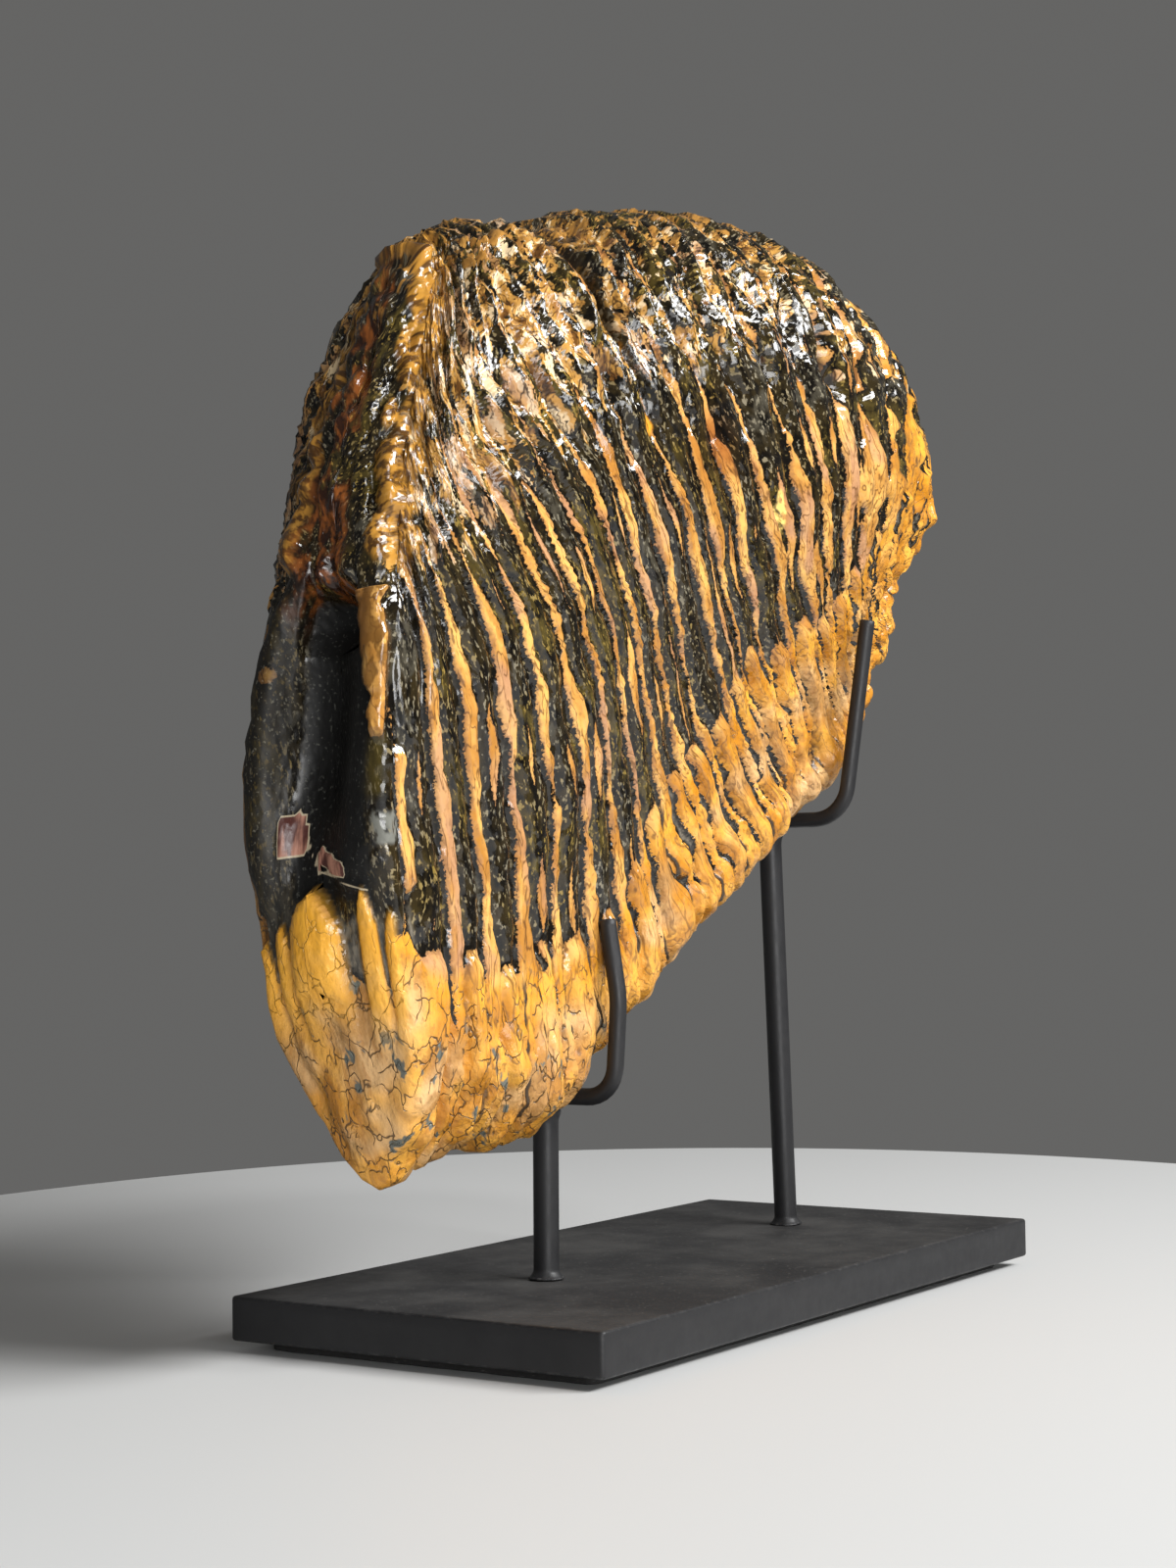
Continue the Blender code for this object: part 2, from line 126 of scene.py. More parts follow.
def lay_floor():
    """The oval table top, its long axis along the view."""
    angles = np.linspace(0, 2 * math.pi, TABLE_SIDES, endpoint=False)
    along, across = TABLE_LENGTH / 2 * np.cos(angles), TABLE_WIDTH / 2 * np.sin(angles)
    x = TABLE_CENTRE[0] + along * math.cos(HEADING) - across * math.sin(HEADING)
    y = TABLE_CENTRE[1] + along * math.sin(HEADING) + across * math.cos(HEADING)
    top = np.stack([x, y, np.zeros(TABLE_SIDES)], -1) * MM
    points = np.concatenate([top, top - (0, 0, TABLE_THICK * MM)])
    ring = list(range(TABLE_SIDES))
    following = ring[1:] + ring[:1]
    walls = [(i, i + TABLE_SIDES, j + TABLE_SIDES, j) for i, j in zip(ring, following)]
    mesh = bpy.data.meshes.new("floor")
    mesh.from_pydata(points.tolist(), [], [ring, [i + TABLE_SIDES for i in reversed(ring)], *walls])
    mesh.materials.append(simple_material("pale_floor", TABLE_COLOR, TABLE_ROUGHNESS))
    floor = bpy.data.objects.new("floor", mesh)
    bpy.context.scene.collection.objects.link(floor)


def hang_light(name, direction, distance, width, height, power):
    """A soft light this wide and high, at this distance from the tooth, facing it."""
    light = bpy.data.lights.new(name, "AREA")
    light.shape = "RECTANGLE"
    light.size, light.size_y = width, height
    light.energy = power
    lamp = bpy.data.objects.new(name, light)
    lamp.location = AIM + Vector(direction).normalized() * distance
    lamp.rotation_euler = (AIM - lamp.location).to_track_quat("-Z", "Y").to_euler()
    bpy.context.scene.collection.objects.link(lamp)


def light_the_world():
    """Even grey light from all round."""
    world = bpy.data.worlds.new("studio")
    world.use_nodes = True
    world.node_tree.nodes["Background"].inputs["Color"].default_value = (*WORLD_GREY, 1.0)
    bpy.context.scene.world = world


lay_floor()
light_the_world()
for light in LIGHTS:
    hang_light(*light)
bpy.context.scene.view_settings.view_transform = "Standard"
print("floor laid,", len(LIGHTS), "lights hung")

# %% [markdown]
# ## A small kit for shader nodes
# A material here is a chain of maths on positions and masks. Written out in full, each link takes
# five lines, so one call makes a node, sets its values and joins its inputs. What comes out is
# wrapped as a Wire, which Python can add, multiply or compare: each sign then makes a Math node,
# and a formula of nodes reads like a formula.

# %% Helpers for nodes
UNDER, OVER, MIXED = 6, 7, 2  # the colour sockets of a Mix node, which share their names with others


def feed(tree, node, inputs):
    """Gives a node's inputs their values, or links them from wires."""
    for name, value in inputs.items():
        if isinstance(value, Wire):
            tree.links.new(value.socket, node.inputs[name])
        else:
            node.inputs[name].default_value = value


def wire(tree, kind, output, inputs=None, **settings):
    """A new node with these settings and inputs, given by one of its outputs."""
    node = tree.nodes.new(kind)
    for name, value in settings.items():
        setattr(node, name, value)
    feed(tree, node, inputs or {})
    return Wire(tree, node.outputs[output])


def maths(operation, first, second=0.0):
    """One Math node. At least one of the two is a wire."""
    tree = first.tree if isinstance(first, Wire) else second.tree
    return wire(tree, "ShaderNodeMath", 0, {0: first, 1: second}, operation=operation)


class Wire:
    """A socket that can be counted with."""

    def __init__(self, tree, socket):
        self.tree, self.socket = tree, socket

    def __add__(self, other):
        return maths("ADD", self, other)

    def __sub__(self, other):
        return maths("SUBTRACT", self, other)

    def __rsub__(self, other):
        return maths("SUBTRACT", other, self)

    def __mul__(self, other):
        return maths("MULTIPLY", self, other)

    def __truediv__(self, other):
        return maths("DIVIDE", self, other)

    def __pow__(self, other):
        return maths("POWER", self, other)

    def __abs__(self):
        return maths("ABSOLUTE", self)

    def ramp(self, low, high, to_low=0.0, to_high=1.0):
        """A smooth change from to_low to to_high while this goes from low to high."""
        inputs = {"Value": self, "From Min": low, "From Max": high, "To Min": to_low, "To Max": to_high}
        return wire(self.tree, "ShaderNodeMapRange", "Result", inputs, interpolation_type="SMOOTHSTEP")

    def between(self, under, over, way="MIX"):
        """The colour under where this is 0, and the colour over where it is 1."""
        under, over = (color if isinstance(color, Wire) else (*color, 1.0) for color in (under, over))
        inputs = {"Factor": self, UNDER: under, OVER: over}
        return wire(self.tree, "ShaderNodeMix", MIXED, inputs, data_type="RGBA", blend_type=way)


def laid_on(tone, *coats):
    """The tone with colours laid on in turn. A coat is a mask, a colour, and a way if it isn't plain."""
    for mask, color, *way in coats:
        tone = mask.between(tone, color, *way)
    return tone


def largest(first, *others):
    """The largest of several wires."""
    for other in others:
        first = maths("MAXIMUM", first, other)
    return first


# %% Helpers for places, patterns and masks
def stored(tree, name, output="Fac"):
    """A value stored on the mesh's points."""
    return wire(tree, "ShaderNodeAttribute", output, attribute_name=name)


def place_on(tree, stretch=(1.0, 1.0, 1.0)):
    """Object position, stretched along the axes."""
    position = wire(tree, "ShaderNodeTexCoord", "Object")
    return wire(tree, "ShaderNodeMapping", "Vector", {"Vector": position, "Scale": stretch})


def along_strips(tree, share):
    """Places across the tooth's strips and up along them, where a pattern is 1 / share times as long."""
    inputs = {"Vector": stored(tree, "flow", "Vector"), "Scale": (1.0, share, 1.0)}
    return wire(tree, "ShaderNodeMapping", "Vector", inputs)


def cloud(place, per_metre, detail=3.0, roughness=0.55):
    """Fractal noise from 0 to 1 with this many lumps to the metre."""
    inputs = {"Vector": place, "Scale": per_metre, "Detail": detail, "Roughness": roughness}
    return wire(place.tree, "ShaderNodeTexNoise", "Fac", inputs)


def cells(place, per_metre, **settings):
    """Distances in a pattern of cells with this many to the metre."""
    inputs = {"Vector": place, "Scale": per_metre}
    return wire(place.tree, "ShaderNodeTexVoronoi", "Distance", inputs, **settings)


def bumped(height, distance, **under):
    """A normal tilted by a height of 0 to 1 that stands this many metres high, over Normal if given."""
    inputs = {"Height": height, "Distance": distance, "Strength": 1.0, **under}
    return wire(height.tree, "ShaderNodeBump", "Normal", inputs)


# %% Helpers for groups
def new_group(name, inputs):
    """An empty shader group with named inputs, and those inputs as wires."""
    group = bpy.data.node_groups.new(name, "ShaderNodeTree")
    for label, value in inputs.items():
        socket = group.interface.new_socket(label, in_out="INPUT", socket_type="NodeSocketFloat")
        socket.default_value = value
    given = group.nodes.new("NodeGroupInput").outputs
    return group, {label: Wire(group, given[label]) for label in inputs}


def give(group, results):
    """The finished group, with these wires as its named outputs."""
    for label in results:
        group.interface.new_socket(label, in_out="OUTPUT", socket_type="NodeSocketFloat")
    feed(group, group.nodes.new("NodeGroupOutput"), results)
    return group


def use_group(tree, group, inputs):
    """One placement of a group, with its own values. Gives its outputs by name."""
    node = tree.nodes.new("ShaderNodeGroup")
    node.node_tree = group
    feed(tree, node, inputs)
    return {socket.name: Wire(tree, socket) for socket in node.outputs}


print("node helpers ready")

# %% [markdown]
# ## Powder coat
# The stand is steel under a satin black powder coat. The powder melts into a skin with a faint
# orange-peel ripple. Handling polishes it along edges, dust settles on faces that look up, and a
# cloth leaves soft streaks. Each of these is a mask, so they share one group that any coated piece
# can use: it gives the worn edges, the dust and the streaks, each from 0 to 1.
#
# Worn edges come from comparing the surface's own normal with a rounded one from the Bevel node:
# where the two part, there is an edge.

# %% Masks shared by the coated pieces
def make_wear_group():
    """Worn edges, dust and wipe streaks for a coated piece."""
    inputs = {"Edge Width": 0.0008, "Edge Wear": 0.5, "Dust": 0.4, "Streaks": 0.5}
    group, given = new_group("coat_wear", inputs)
    rounded = wire(group, "ShaderNodeBevel", "Normal", {"Radius": given["Edge Width"]}, samples=4)
    normal = wire(group, "ShaderNodeNewGeometry", "Normal")
    inputs = {0: rounded, 1: normal}
    together = wire(group, "ShaderNodeVectorMath", "Value", inputs, operation="DOT_PRODUCT")
    facing_up = wire(group, "ShaderNodeSeparateXYZ", "Z", {"Vector": normal}).ramp(0.6, 0.98)
    place = place_on(group)
    chipped = cloud(place, 700.0, 4.0).ramp(0.50, 0.66)
    specks = cloud(place, 1300.0, 2.0).ramp(0.66, 0.72)
    film = cloud(place, 45.0, 4.0).ramp(0.35, 0.75, 0.05, 0.35)
    wiped = cloud(place_on(group, (0.25, 0.25, 1.6)), 55.0, 3.0).ramp(0.42, 0.72)
    return give(group, {
        "Edges": together.ramp(0.995, 0.90) * chipped * given["Edge Wear"],
        "Dust": facing_up * largest(specks, film) * given["Dust"],
        "Streaks": wiped * given["Streaks"],
    })


coat_wear = make_wear_group()
print("powder coat masks:", [socket.name for socket in coat_wear.interface.items_tree])

# %% [markdown]
# The coat's own material mixes those masks: a worn edge shows a lighter grey, dust is pale and
# rough, and a streak only changes the roughness. The ripple is a bump of a few hundredths of a mm.

# %% The black steel
COAT_DARK, COAT_LIGHT = (0.010, 0.010, 0.011), (0.017, 0.017, 0.018)
WORN_EDGE, DUST = (0.26, 0.25, 0.24), (0.30, 0.29, 0.27)
COAT_IOR = 1.38


def make_powder_coat(name, edge_wear, dust, streaks):
    """Satin black powder coat with this much wear."""
    material = simple_material(name, (0.012, 0.012, 0.013), 0.38)
    tree = material.node_tree
    shader = tree.nodes["Principled BSDF"]
    masks = use_group(tree, coat_wear, {"Edge Wear": edge_wear, "Dust": dust, "Streaks": streaks})
    place = place_on(tree)
    black = cloud(place, 120.0).between(COAT_DARK, COAT_LIGHT)
    satin = cloud(place, 260.0).ramp(0.3, 0.7, 0.40, 0.50)
    peel = bumped(cloud(place, 900.0, 2.0), 0.00003)
    feed(tree, shader, {
        "Base Color": laid_on(black, (masks["Edges"], WORN_EDGE), (masks["Dust"], DUST)),
        "Roughness": satin + masks["Streaks"] * 0.12 + masks["Dust"] * 0.35,
        "Normal": bumped(cloud(place, 3200.0, 1.0), 0.000012, Normal=peel),
    })
    shader.inputs["IOR"].default_value = COAT_IOR
    return material


plate_coat = make_powder_coat("plate_powder_coat", 1.0, 0.35, 1.0)
rod_coat = make_powder_coat("rod_powder_coat", 0.35, 0.15, 0.4)
print("materials:", plate_coat.name, rod_coat.name)

# %% [markdown]
# ## The pad
# Under the plate sits a thin sheet of black foam rubber. Its skin is matt, with fine open pores
# and grey lint caught along the rim.

# %% The foam of the pad
FOAM_DARK, FOAM_LIGHT, LINT = (0.012, 0.012, 0.012), (0.024, 0.023, 0.022), (0.20, 0.19, 0.18)


def make_foam():
    """Matt black foam rubber with pores and lint."""
    material = simple_material("pad_foam", (0.016, 0.016, 0.016), 0.9)
    tree = material.node_tree
    place = place_on(tree)
    black = cloud(place, 90.0).between(FOAM_DARK, FOAM_LIGHT)
    lint = cloud(place_on(tree, (1.0, 1.0, 6.0)), 500.0, 5.0).ramp(0.62, 0.72)
    feed(tree, tree.nodes["Principled BSDF"], {
        "Base Color": laid_on(black, (lint * 0.5, LINT)),
        "Roughness": cloud(place, 400.0).ramp(0.3, 0.7, 0.82, 0.97),
        "Normal": bumped(cells(place, 1600.0), 0.0001),
    })
    return material


foam = make_foam()
print("material:", foam.name)

# %% [markdown]
# ## The plate, its pad and their edges
# The plate is a length of flat bar, sawn and filed before it was coated, so its long edges carry a
# small even round while its sawn ends are a little less true. A closed ring of points is laid
# round the rim at several heights, each ring drawn in by the edge's round, and pushed by a noise
# far smaller than anyone would measure, so that light breaks along it as it does on a real bar.

# %% Build the plate and the pad
STEPS_ALONG, STEPS_ACROSS, STEPS_TURN, EDGE_STEPS = 60, 30, 4, 5
SHIVER_SIZE = 7.0  # mm, the size of the rim's unevenness
SHIVER_SEED = 1  # without a seed, noise_vector takes one from the clock and differs in every run


def link(name, mesh, material, stands_for):
    """A finished piece: its object rides with the frame and stands for the frame's own node."""
    mesh.materials.append(material)
    piece = bpy.data.objects.new(name, mesh)
    bpy.context.scene.collection.objects.link(piece)
    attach(piece, "root")
    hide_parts(stands_for)
    return piece


def ring_mesh(name, rings):
    """A closed smooth mesh over rings of points in mm, with a flat face at each end."""
    index = np.arange(rings.shape[0] * rings.shape[1]).reshape(rings.shape[:2])
    after = np.roll(index, -1, axis=1)
    walls = np.stack([index[:-1], after[:-1], after[1:], index[1:]], -1).reshape(-1, 4)
    mesh = bpy.data.meshes.new(name)
    faces = [*walls.tolist(), index[0, ::-1].tolist(), index[-1].tolist()]
    mesh.from_pydata((rings.reshape(-1, 3) * MM).tolist(), [], faces)
    mesh.shade_smooth()
    return mesh


def heading(degrees):
    """A direction in the plane, counted from +X towards +Y."""
    return np.array([math.cos(math.radians(degrees)), math.sin(math.radians(degrees))])


def rounded_rim(half_length, half_width, corner):
    """Points round a rectangle with rounded corners, in order, with its centre at the origin."""
    inner = np.array([half_length - corner, half_width - corner])
    centres = [inner * quarter for quarter in ((1, 1), (-1, 1), (-1, -1), (1, -1))]
    rim = []
    for number, centre in enumerate(centres):
        turns = (90 * number + 90 * turn / STEPS_TURN for turn in range(STEPS_TURN + 1))
        rim.extend(centre + corner * heading(degrees) for degrees in turns)
        start, goal = rim[-1], centres[(number + 1) % 4] + corner * heading(90 * (number + 1))
        steps = STEPS_ALONG if number % 2 == 0 else STEPS_ACROSS
        rim.extend(start + (goal - start) * step / steps for step in range(1, steps))
    return np.array(rim)


def flat_bar_mesh(name, size, bottom, edge_round, corner, ripple):
    """A flat bar or sheet as one closed skin, in mm, standing on the height bottom."""
    length, width, thick = size
    turns = np.linspace(0, math.pi / 2, EDGE_STEPS)
    lower = [(inward, 0.0) for inward in (width * 0.25, width * 0.08, edge_round * 2)]
    lower += [(edge_round * (1 - math.sin(a)), edge_round * (1 - math.cos(a))) for a in turns]
    middles = [(0.0, thick * part) for part in (0.3, 0.5, 0.7)]
    upper = [(inward, thick - height) for inward, height in reversed(lower)]
    rings = []
    for inward, height in lower + middles + upper:
        rim = rounded_rim(length / 2 - inward, width / 2 - inward, max(corner - inward, 0.05))
        rings.append(np.column_stack([rim, np.full(len(rim), bottom + height)]))
    rings = np.array(rings)
    noise.seed_set(SHIVER_SEED)
    shiver = [noise.noise_vector(Vector(point) / SHIVER_SIZE) for point in rings.reshape(-1, 3)]
    return ring_mesh(name, rings + np.array(shiver).reshape(rings.shape) * ripple)


PLATE_SIZE, PAD_SIZE = (210.0, 100.0, 10.0), (198.0, 88.0, 2.2)
plate_mesh = flat_bar_mesh("steel_plate", PLATE_SIZE, PLATE_TOP - PLATE_SIZE[2], 0.8, 1.2, 0.02)
link("steel_plate", plate_mesh, plate_coat, "base_plate")
pad_mesh = flat_bar_mesh("foam_pad", PAD_SIZE, 0.0, 0.4, 3.0, 0.12)
link("foam_pad", pad_mesh, foam, "base_pad")
print("plate", len(plate_mesh.polygons), "faces; pad", len(pad_mesh.polygons), "faces")

# %% [markdown]
# ## Posts, rods and welds
# Two upright round bars carry two thinner rods, each bent cold into a cradle: an arm up the near
# flank, a corner, a run under the tooth, a corner, an arm up the far flank. All of them are tubes
# swept along a path, so one function serves: it walks the path with a steady sideways direction
# and lays a ring of points at each step, with the ring's radius free to change. A weld is a
# swelling of that radius with uneven ripples, as the bead froze in small steps.

# %% Sweep the posts and the rods
ACROSS = 1.4  # mm, the welder's small error: the supports stand off the plate's middle line
POST_RADIUS, ROD_RADIUS, CORNER_STEPS, AROUND = 3.0, 2.0, 10, 32
WELD_GAP = 0.3  # mm between a post and the plate under it or the rod over it
FILED = 0.35  # mm taken off the edge of a rod's sawn ends
# An arm's corners are (across, height, bend radius). A rod is its x, its height, its post's foot and its arm.
FRONT_ARM = ((17.8, 83.3, 0.0), (20.6, 65.0, 25.0), (18.9, 42.5, 7.5))
REAR_ARM = ((30.4, 160.0, 0.0), (22.4, 108.0, 10.0))
RODS = {"front": (-49.5, 42.5, -50.0, FRONT_ARM), "rear": (58.4, 108.0, 64.0, REAR_ARM)}


def unit(vectors):
    """The same directions at length 1."""
    return vectors / np.maximum(np.linalg.norm(vectors, axis=-1, keepdims=True), 1e-9)


def swept_mesh(name, path, radii, sideways):
    """A closed tube along the path, in mm above the plate, with a radius at each step."""
    along = unit(np.gradient(path, axis=0))
    first = unit(np.cross(along, sideways))
    second = np.cross(along, first)
    angle = np.linspace(0, 2 * math.pi, AROUND, endpoint=False)[:, None]
    ring = first[:, None] * np.cos(angle) + second[:, None] * np.sin(angle)
    points = path[:, None] + ring * radii.reshape(len(path), -1, 1)
    return ring_mesh(name, points + (0, 0, PLATE_TOP))


def bent_path(corners):
    """Points along straight runs joined by round bends."""
    path = [Vector(corners[0][:2])]
    for before, corner, after in zip(corners, corners[1:], corners[2:]):
        middle = Vector(corner[:2])
        arriving = (middle - Vector(before[:2])).normalized()
        leaving = (Vector(after[:2]) - middle).normalized()
        turn = arriving.angle_signed(leaving)
        start = middle - arriving * corner[2] * math.tan(abs(turn) / 2)
        centre = start + Vector((-arriving.y, arriving.x)) * math.copysign(corner[2], -turn)
        for step in range(CORNER_STEPS + 1):
            path.append(centre + Matrix.Rotation(-turn * step / CORNER_STEPS, 2) @ (start - centre))
    return path + [Vector(corners[-1][:2])]


def cradle_line(rod_x, arm, spacing=1.5):
    """The rod's centre line in mm, with points at an even spacing."""
    mirrored = tuple((-across, height, radius) for across, height, radius in reversed(arm))
    corners = np.array([(rod_x, place.x + ACROSS, place.y) for place in bent_path(arm + mirrored)])
    lengths = np.concatenate([[0], np.cumsum(np.linalg.norm(np.diff(corners, axis=0), axis=1))])
    even = np.linspace(0, lengths[-1], int(lengths[-1] / spacing))
    return np.stack([np.interp(even, lengths, corners[:, axis]) for axis in range(3)], -1)


def build_cradle(name, rod_x, arm):
    """A cradle: round rod, its sawn ends lightly filed."""
    line = cradle_line(rod_x, arm)
    start, end = FILED * unit(np.array([line[1] - line[0], line[-2] - line[-1]]))
    line = np.concatenate([[line[0], line[0] + start], line[1:-1], [line[-1] + end, line[-1]]])
    radii = np.full(len(line), ROD_RADIUS)
    radii[[0, -1]] -= FILED
    mesh = swept_mesh(name + "_rod", line, radii, (1.0, 0.0, 0.0))
    return link(name + "_rod", mesh, rod_coat, name + "_cradle")


def weld_ripple(height, angle, seed):
    """Uneven swelling of a weld bead, from 0.7 to 1.3."""
    ripple = np.sin(9 * angle + seed) * 0.12 + np.sin(4 * angle - 2 * seed) * 0.1
    return 1 + ripple + 0.06 * np.sin(height * 7 + seed)


def build_post(name, foot_x, top_x, rod_height, seed):
    """A post with a weld fillet on the plate and a bead under the rod."""
    top = rod_height - ROD_RADIUS - WELD_GAP
    runs = ((WELD_GAP, 6, 20), (8, top - 7, 24), (top - 6, top, 22))
    heights = np.concatenate([np.linspace(*run) for run in runs])
    angle = np.linspace(0, 2 * math.pi, AROUND, endpoint=False)[None]
    rise = heights[:, None]
    fillet = 1.25 * np.clip(1 - (rise - WELD_GAP) / 2.0, 0, 1) ** 1.6 * weld_ripple(rise, angle, seed)
    bead = 0.5 * np.exp(-(((rise - (top - 1.4)) / 1.5) ** 2)) * weld_ripple(rise, angle, seed + 2)
    rounding = 1.1 * np.clip((rise - (top - 0.9)) / 0.9, 0, 1) ** 2
    share = (heights - WELD_GAP) / (top - WELD_GAP)
    line = np.stack([foot_x + (top_x - foot_x) * share, np.full_like(heights, ACROSS), heights], -1)
    mesh = swept_mesh(name + "_upright", line, POST_RADIUS + fillet + bead - rounding, (0.0, 1.0, 0.0))
    return link(name + "_upright", mesh, rod_coat, name + "_post")


for side_name, (rod_x, rod_height, foot_x, arm) in RODS.items():
    cradle = build_cradle(side_name, rod_x, arm)
    post = build_post(side_name, foot_x, rod_x, rod_height, len(side_name))
    print(side_name, "rod", len(cradle.data.polygons), "faces; post", len(post.data.polygons), "faces")

# %% [markdown]
# ## The tooth's plates
# The tooth is drawn in its own coordinates. A plate number runs from 0 at the low front end to 21
# at the rear, and a rise runs from 0 on the root line to 1 on the chewing edge. Both lines are
# smooth curves through a few stations, a bow bends the plates forward, and a thickness says how
# far each flank stands from the middle. A point's side and inset then place it on a flank, or, for
# an inset under 1, on an end face. Heights are above the plate of the stand.

# %% The lines that the tooth is drawn on
LAST_PLATE = 21
# Plate, x and height of the root line and of the chewing edge, in mm.
ROOT_LINE = (
    (0, -113.0, 29.0), (2, -92.0, 34.0), (4, -70.0, 35.5), (5, -60.0, 38.5), (6, -47.0, 47.5),
    (9, -17.0, 67.5), (13, 26.0, 95.0), (16, 56.0, 111.5), (18, 71.0, 121.5), (20, 87.0, 146.0),
    (21, 97.0, 159.0),
)
CROWN_LINE = (
    (0, -108.0, 228.5), (4, -93.0, 235.0), (8, -65.0, 244.5), (13, -17.0, 255.0), (17, 36.0, 260.0),
    (19, 69.0, 254.0), (21, 93.0, 238.0),
)
# Plate, and how far its middle bows along x, in mm.
PLATE_BOW = (
    (0, -26.0), (2, -30.0), (5, -23.0), (8, -16.0), (10, -20.0), (13, -22.0), (16, -11.0), (18, -5.0),
    (21, 13.5),
)
# Plate, half thickness in mm, and the shares of it at the root and at the crown.
HALF_THICK = (
    (0, 19.5, 0.90, 0.54), (2, 23.0, 0.76, 0.80), (5, 27.0, 0.52, 1.0), (9, 31.0, 0.46, 1.0),
    (13, 35.0, 0.46, 1.0), (17, 36.0, 0.46, 1.0), (19, 32.0, 0.50, 1.0), (21, 24.0, 0.58, 1.0),
)
FRONT_LEAN, FACE_BULGE, REAR_BULGE, HOLLOW_DEPTH = 8.3, 6.0, 10.0, 14.0
HOLLOW_RISE, HOLLOW_ACROSS = (0.47, 0.14), (0.1, 0.6)  # middle and reach of the front hollow
CROWN_ROUND = 0.3  # the rise over which the crown rounds off


def smoothstep(low, high, value):
    """0 below low, 1 above high, and a smooth rise between. Low may be the greater."""
    part = np.clip((value - low) / (high - low), 0.0, 1.0)
    return part * part * (3.0 - 2.0 * part)


def bump(value, centre, reach):
    """1 at the centre, falling smoothly to nearly 0 at about twice the reach."""
    return np.exp(-(((value - centre) / reach) ** 2))


def spline(at, knots, column):
    """A smooth curve through one column of a table whose first column is where it is given."""
    table = np.array(knots)
    xs, ys = table[:, 0], table[:, column]
    slopes = np.gradient(ys, xs)
    cell = np.clip(np.searchsorted(xs, at, side="right") - 1, 0, len(xs) - 2)
    width = xs[cell + 1] - xs[cell]
    part = (at - xs[cell]) / width
    square, cube = part**2, part**3
    start = (2 * cube - 3 * square + 1) * ys[cell] + (cube - 2 * square + part) * width * slopes[cell]
    return start + (3 * square - 2 * cube) * ys[cell + 1] + (cube - square) * width * slopes[cell + 1]


def plate_edge(plate, rise):
    """X and height of a plate's edge at a rise."""
    root_x, root_z = spline(plate, ROOT_LINE, 1), spline(plate, ROOT_LINE, 2)
    crown_x, crown_z = spline(plate, CROWN_LINE, 1), spline(plate, CROWN_LINE, 2)
    high_bow = 1.1 + 0.7 * smoothstep(0, 6, plate) * (1 - smoothstep(17, 21, plate))
    bow = spline(plate, PLATE_BOW, 1) * np.sin(np.pi * rise**high_bow)
    return root_x + (crown_x - root_x) * rise + bow, root_z + (crown_z - root_z) * rise


def half_thickness(plate, rise):
    """Half the thickness: narrow at the root, widest past the middle, rounded over at the crown."""
    root_share, crown_share = spline(plate, HALF_THICK, 2), spline(plate, HALF_THICK, 3)
    swell = root_share + (1 - root_share) * smoothstep(0.1, 0.62, rise)
    thinning = 1 - (1 - crown_share) * smoothstep(0.44, 0.76, rise)
    front = 1 - smoothstep(0, 4, plate)
    root_part = np.clip(rise / (0.07 + 0.13 * front), 0, 1)
    root_round = np.sin(np.pi / 2 * root_part) ** (0.5 + 0.3 * front)
    crown_round = np.sqrt(1 - (1 - np.clip((1 - rise) / CROWN_ROUND, 0, 1)) ** 2)
    return spline(plate, HALF_THICK, 1) * swell * thinning * root_round * crown_round


def smooth_surface(plate, rise, side, inset):
    """Points of the tooth before any relief, in mm."""
    squeezed = 0.5 + (rise - 0.5) * (1 - 0.1 * (1 - inset))
    x, z = plate_edge(plate, squeezed)
    lean = -FRONT_LEAN * (1 - smoothstep(0, 7, plate)) * smoothstep(0.34, 0.7, squeezed)
    y = lean + side * inset * half_thickness(plate, squeezed)
    round_over = np.sqrt(np.clip(1 - inset**2, 0, 1))
    hollow = bump(squeezed, *HOLLOW_RISE) * bump(side * inset, *HOLLOW_ACROSS) * round_over
    front = -FACE_BULGE * round_over + HOLLOW_DEPTH * hollow
    x = x + np.where(plate < LAST_PLATE / 2, front, REAR_BULGE * round_over)
    return np.stack([x, y, z], axis=-1)


middle = smooth_surface(np.array([10.0]), np.array([0.6]), -1.0, 1.0)[0]
print("near flank at plate 10, rise 0.6:", middle.round(1), "mm")

# %% [markdown]
# ## The ochre strips
# Cement shows between the enamel bands as narrow ochre strips. They don't keep to the drawing
# lines: they sweep back and down from the front ridge. So the strips are placed by the plate
# numbers at which they cross a rise of 0.4, where they are clearest, and a second table says how
# far the sweep has carried them at other rises. Counting strips then gives every point a strip
# number: whole on a strip, and halves in the middle of a band.

# %% Place the strips and sweep them
STRIP_PLATES = (
    0.4, 2.0, 3.0, 4.1, 5.2, 6.1, 7.0, 7.8, 8.7, 9.5, 10.5,
    11.6, 12.5, 13.3, 14.2, 15.3, 16.0, 16.9, 17.9, 18.9, 19.9, 21,
)
SWEEP_RISES = (0.1, 0.4, 0.55, 0.7, 0.85, 1.0)
SWEEP = (  # plate, then how many plates the strips there have moved at each of those rises
    (0, -0.9, 0.0, -1.0, -3.5, -5.6, -6.8),
    (3, -0.7, 0.0, -0.3, -2.5, -4.9, -6.5),
    (6, 0.0, 0.0, -0.5, -1.9, -4.5, -6.2),
    (9, 1.5, 0.0, -0.7, -1.7, -3.2, -4.8),
    (13, 1.6, 0.0, -0.5, -1.0, -2.0, -2.6),
    (17, 2.1, 0.0, -0.2, -0.5, -0.8, -0.9),
    (21, 0.8, 0.0, 0.0, 0.0, 0.0, 0.0),
)
